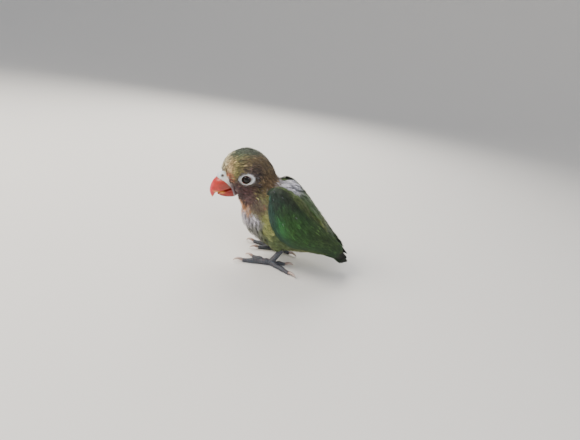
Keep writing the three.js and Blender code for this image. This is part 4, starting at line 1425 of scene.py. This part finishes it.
bpy.ops.object.select_all(action="DESELECT")
swellings = through(CERE_RUN, np.linspace(0, len(CERE_RUN) - 1, CERE_STEPS))
for number, (side_mm, forward, upward_mm, radius) in enumerate(swellings):
    for sign, behind in ((1, 0), (1, CERE_BACK), (-1, 0), (-1, CERE_BACK)):
        if behind and number >= CERE_DOUBLED:
            continue
        middle = from_head(sign * side_mm, forward - behind, upward_mm + behind * 0.1)
        bpy.ops.mesh.primitive_ico_sphere_add(subdivisions=2, radius=radius * MM, location=middle)
        if number == 0 and sign == 1 and not behind:
            bpy.ops.object.mode_set(mode="EDIT")
bpy.ops.object.mode_set(mode="OBJECT")
cere = finished("cere_skin")
modify(cere, "REMESH", mode="VOXEL", voxel_size=0.2 * MM)
modify(cere, "SMOOTH", factor=SMOOTHING, iterations=6)
spots = spots_of(cere)
facing = read(cere.data.vertex_normals, "vector", 3)
hole = np.linalg.norm((on_head(spots) - NOSTRIL) / [1.2, 0.62, 0.5], axis=1)
push = -0.75 * np.exp(-(hole**2)) + 0.22 * np.exp(-((hole - 1.7) ** 2) / 0.3)
spots += facing * (push * MM)[:, None]
put_spots(cere, spots)
colour_points(cere.data, laid(CERE_MARKS, on_head(spots), paint("d9d8d2")))
bpy.ops.object.shade_smooth()


def bare_skin(name, code, roughness, wrinkle, depth):
    """Bare soft skin: a little light passes in, and fine wrinkles cover it."""
    made = finish_named(name, code, roughness, Subsurface_Weight=0.2, Subsurface_Scale=0.8 * MM)
    wire(made, "Base Color", coat_colour(made))
    wrinkles = add_node(
        made, "TexVoronoi", {"Vector": own_place(made)}, feature="DISTANCE_TO_EDGE", Scale=wrinkle
    )
    bumped(made, wrinkles.outputs["Distance"], 0.6, depth)
    return made


placed(cere, bare_skin("cere skin", "d9d8d2", 0.6, 2200, 0.12 * MM), "cere_skin", "cere")

# Eyes
# A nearly black wet ball with a thin grey-brown rim of lid, and round it a ring of bare white
# skin that comes to a blunt point before and behind the eye.
EYE_RADIUS = 3.1
EYE_SINK = 0.1 * MM
RING_OUT = 2.15 * MM
# half length, half height and height over the eye's plane, from the lid's edge outwards
RING_LOOPS = [
    (1.8, 1.62, -0.9),
    (1.88, 1.68, 0),
    (2.0, 1.8, 0.36),
    (2.14, 1.9, 0.42),
    (2.28, 1.98, 0.26),
    (2.8, 2.12, 0.26),
    (3.4, 2.26, 0.12),
    (4, 2.4, -0.15),
    (4.45, 2.6, -0.6),
    (4.55, 2.75, -1.6),
]
RING_SIDES = 56
# how far each loop lies under the head's curve, and how much of the ring one point settles with
RING_SINK = [0, 0, 0, 0, 0, -0.1, -0.05, 0.05, 0.3, 1]
LID_LOOPS = 5
SETTLE_SPAN = 13
RING_END = RING_LOOPS[-1][0]
RING_POINT = 0.42
PROBE = 8 * MM
RING_MARKS = [("lid", (0, 0), (2.3, 1.98), 0.12, "4f4340")]
face_tree = tree_of(["head", "eye_left", "eye_ring_left"])
eye_frame = Matrix((EYE_AHEAD, EYE_UP, EYE_OUT)).transposed().to_4x4()


def onto_eye(piece, over):
    """Turns a piece made flat at the middle to the left eye's plane, that far over it."""
    piece.matrix_world = eye_frame
    piece.matrix_world.translation = EYE + EYE_OUT * over
    bpy.ops.object.transform_apply(location=True, rotation=True, scale=True)


def mirrored(piece):
    """Puts a finished piece on the bird's right side."""
    activate(piece)
    bpy.ops.transform.mirror(constraint_axis=(True, False, False))
    bpy.ops.object.transform_apply(location=True, rotation=True, scale=True)
    edit_all(piece, bpy.ops.mesh.normals_make_consistent, inside=False)


eye_paint = finish_named(
    "wet eye", "120a08", 0.12, Coat_Weight=0.2, Coat_Roughness=0.02, IOR=1.36
)
wire(eye_paint, "Base Color", coat_colour(eye_paint))
ring_paint = bare_skin("eye ring skin", "c9ccca", 0.5, 1900, 0.08 * MM)
for side_name, sign in (("left", 1), ("right", -1)):
    bpy.ops.object.select_all(action="DESELECT")
    bpy.ops.mesh.primitive_uv_sphere_add(segments=40, ring_count=24, radius=EYE_RADIUS * MM)
    ball = finished(f"eye_{side_name}_ball")
    spots = spots_of(ball) / MM
    wide = np.hypot(spots[:, 0], spots[:, 1])
    iris = smooth(1.15, 1.3, wide) * (spots[:, 2] > 0)
    grey = smooth(1.85, 2.1, wide)
    colour = paint("040303") + (paint("1c100b") - paint("040303")) * iris[:, None]
    colour = colour + (paint("4a4442") - colour) * grey[:, None]
    colour_points(ball.data, colour)
    onto_eye(ball, -EYE_SINK)
    bpy.ops.object.shade_smooth()

    loops = [
        ((0, 0, over * MM), MM, (0, 0, 0), (long_mm, high_mm, 1))
        for long_mm, high_mm, over in RING_LOOPS
    ]
    ring = bridged(f"eye_{side_name}_ring", RING_SIDES, loops, "CLOSED")
    spots = spots_of(ring) / MM
    ahead = spots[:, 0]
    colour_points(ring.data, laid(RING_MARKS, spots[:, :2], paint("cdd2d4")))
    outer_share = smooth(2.2, RING_END, np.abs(ahead))
    spots[:, 1] *= 1 - RING_POINT * outer_share * (np.abs(ahead) / RING_END) ** 2
    fall = np.where(ahead > 0, 0.1, 0.075) * ahead**2 * np.where(ahead > 0, 0.1, 1)
    spots[:, 2] -= fall + 0.03 * spots[:, 1] ** 2
    put_spots(ring, spots * MM)
    onto_eye(ring, RING_OUT)
    # each loop settles on the head's own curve, the lid's loops along with the next one out
    spots = spots_of(ring)
    above = [face_tree.ray_cast(Vector(p) + EYE_OUT * PROBE, -EYE_OUT)[3] - PROBE for p in spots]
    shift = -np.array(above).reshape(len(RING_LOOPS), RING_SIDES)
    shift -= np.array(RING_SINK)[:, None] * MM
    shift[:LID_LOOPS] = shift[LID_LOOPS]
    window = np.hanning(SETTLE_SPAN)
    window /= window.sum()
    shift = np.pad(shift, ((0, 0), (SETTLE_SPAN // 2, SETTLE_SPAN // 2)), "wrap")
    shift = np.stack([np.convolve(row, window, "valid") for row in shift])
    spots += np.outer(shift.ravel(), EYE_OUT)
    put_spots(ring, spots)
    modify(ring, "SUBSURF", levels=1, render_levels=1)
    bpy.ops.object.shade_smooth()
    if sign < 0:
        mirrored(ball)
        mirrored(ring)
    placed(ball, eye_paint, "eye", f"eye_{side_name}")
    placed(ring, ring_paint, "eye_ring_skin", f"eye_ring_{side_name}")

# Feet
# Slate grey scaly skin over bone: a short shank with a ring of scutes on each step of it, two
# toes forward and two back, each with soft pads below and a curved claw of pale horn.
FOOT_OUT = 9.5
FOOT_Y = -4
TARSUS = [(9.4, 0.7, 9.6, 1.45), (9.5, -1.4, 5.4, 1.4), (9.5, -3.7, 1.5, 1.6)]
# heading outwards from straight ahead in degrees, length and radius
TOES = {
    "inner_front": (-20, 10, 1.25),
    "outer_front": (13, 13.5, 1.35),
    "outer_back": (148, 12, 1.25),
    "inner_back": (200, 7.5, 1.15),
}
TOE_SIZES = [1, 1.12, 0.84, 1, 0.78, 0.72]
CLAW_LENGTH = 4.6
CLAW_ROOT = 0.2
SCUTE = 0.09
SCUTE_RIDGES = (0.4, 1, -1.2)
# each scute's raised ridge is painted lighter and its sunken groove darker: painted highlight and
# painted shade on the scales' relief
SCUTE_PAINTED_LIGHT_AND_SHADE = np.array([1, 1.35, 0.5])
LIMB_SIDES = 14
# how far apart scutes are on the shank and the toes; a claw has none
SHANK_SCUTES = 0.9
TOE_SCUTES = 0.75
NO_SCUTES = 8


def limb_hoops(line, scute_step):
    """Hoops square to a line of points with radii, in mm, with a ridge on each scute."""
    rows = np.array(line, float)
    length = np.linalg.norm(np.diff(rows[:, :3], axis=0), axis=1).sum()
    count = max(6, int(round(length / scute_step)) * 3) + 1
    middles = through(rows, np.linspace(0, len(rows) - 1, count))
    ahead = np.gradient(middles[:, :3], axis=0)
    hoops = []
    for k, (row, way) in enumerate(zip(middles, ahead)):
        ridge = 1 + SCUTE * SCUTE_RIDGES[k % 3] * (scute_step < NO_SCUTES)
        turn = Vector(way).to_track_quat("Z", "Y").to_euler()
        middle = (row[0] * MM, row[1] * MM + SHIFT, row[2] * MM)
        hoops.append((middle, row[3] * ridge * MM, tuple(turn), (1, 1, 1)))
    return hoops


def toe_point(heading, reach, height):
    """A place over a toe's line, in mm, that far from the shank."""
    angle = math.radians(heading)
    return (FOOT_OUT + reach * math.sin(angle), FOOT_Y - reach * math.cos(angle), height)


foot_paint = bare_skin("foot skin", "54565a", 0.55, 1500, 0.1 * MM)
claw_paint = finish_named(
    "claw horn", "a08a80", 0.3, Coat_Weight=0.2, Subsurface_Weight=0.1, Subsurface_Scale=0.5 * MM
)
wire(claw_paint, "Base Color", coat_colour(claw_paint))
for side_name, sign in (("left", 1), ("right", -1)):
    limbs = [bridged("shank", LIMB_SIDES, limb_hoops(TARSUS, SHANK_SCUTES))]
    for toe, (heading, length, radius) in TOES.items():
        shares = np.linspace(0, 1, len(TOE_SIZES))
        line = [
            (*toe_point(heading, s * length, 0.97 * radius * size), radius * size)
            for s, size in zip(shares, TOE_SIZES)
        ]
        limbs.append(bridged(toe, LIMB_SIDES, limb_hoops(line, TOE_SCUTES)))
        start = length - CLAW_ROOT
        r = radius * 0.62
        claw_line = [
            (*toe_point(heading, start, r + 0.15), r),
            (*toe_point(heading, start + CLAW_LENGTH * 0.45, r + 0.85), r * 0.85),
            (*toe_point(heading, start + CLAW_LENGTH * 0.85, r + 0.3), r * 0.5),
            (*toe_point(heading, start + CLAW_LENGTH, 0.35), 0.14),
        ]
        node = f"claw_{side_name}_{toe}"
        claw = bridged(f"{node}_horn", LIMB_SIDES, limb_hoops(claw_line, NO_SCUTES))
        modify(claw, "SUBSURF", levels=1, render_levels=1)
        out_and_back = spots_of(claw)[:, :2] / MM - [FOOT_OUT, FOOT_Y + SHIFT / MM]
        to_tip = smooth(start, start + CLAW_LENGTH, np.linalg.norm(out_and_back, axis=1))
        to_tip = to_tip[:, None]
        colour_points(claw.data, paint("9a8078") * (1 - to_tip) + paint("c4b2a6") * to_tip)
        if sign < 0:
            mirrored(claw)
        placed(claw, claw_paint, "claw_horn", node)
    foot = joined(limbs)
    foot.name = f"foot_{side_name}_skin"
    scute = np.arange(len(foot.data.vertices)) // LIMB_SIDES % 3
    # painted highlight on each scute's ridge and painted shade in its groove
    colour_points(foot.data, paint("4a4c53") * SCUTE_PAINTED_LIGHT_AND_SHADE[scute][:, None])
    modify(foot, "SUBSURF", levels=1, render_levels=1)
    spots = spots_of(foot)
    spots[:, 2] = np.maximum(spots[:, 2], 0.02 * MM)
    put_spots(foot, spots)
    if sign < 0:
        mirrored(foot)
    placed(foot, foot_paint, "foot_skin", f"foot_{side_name}")
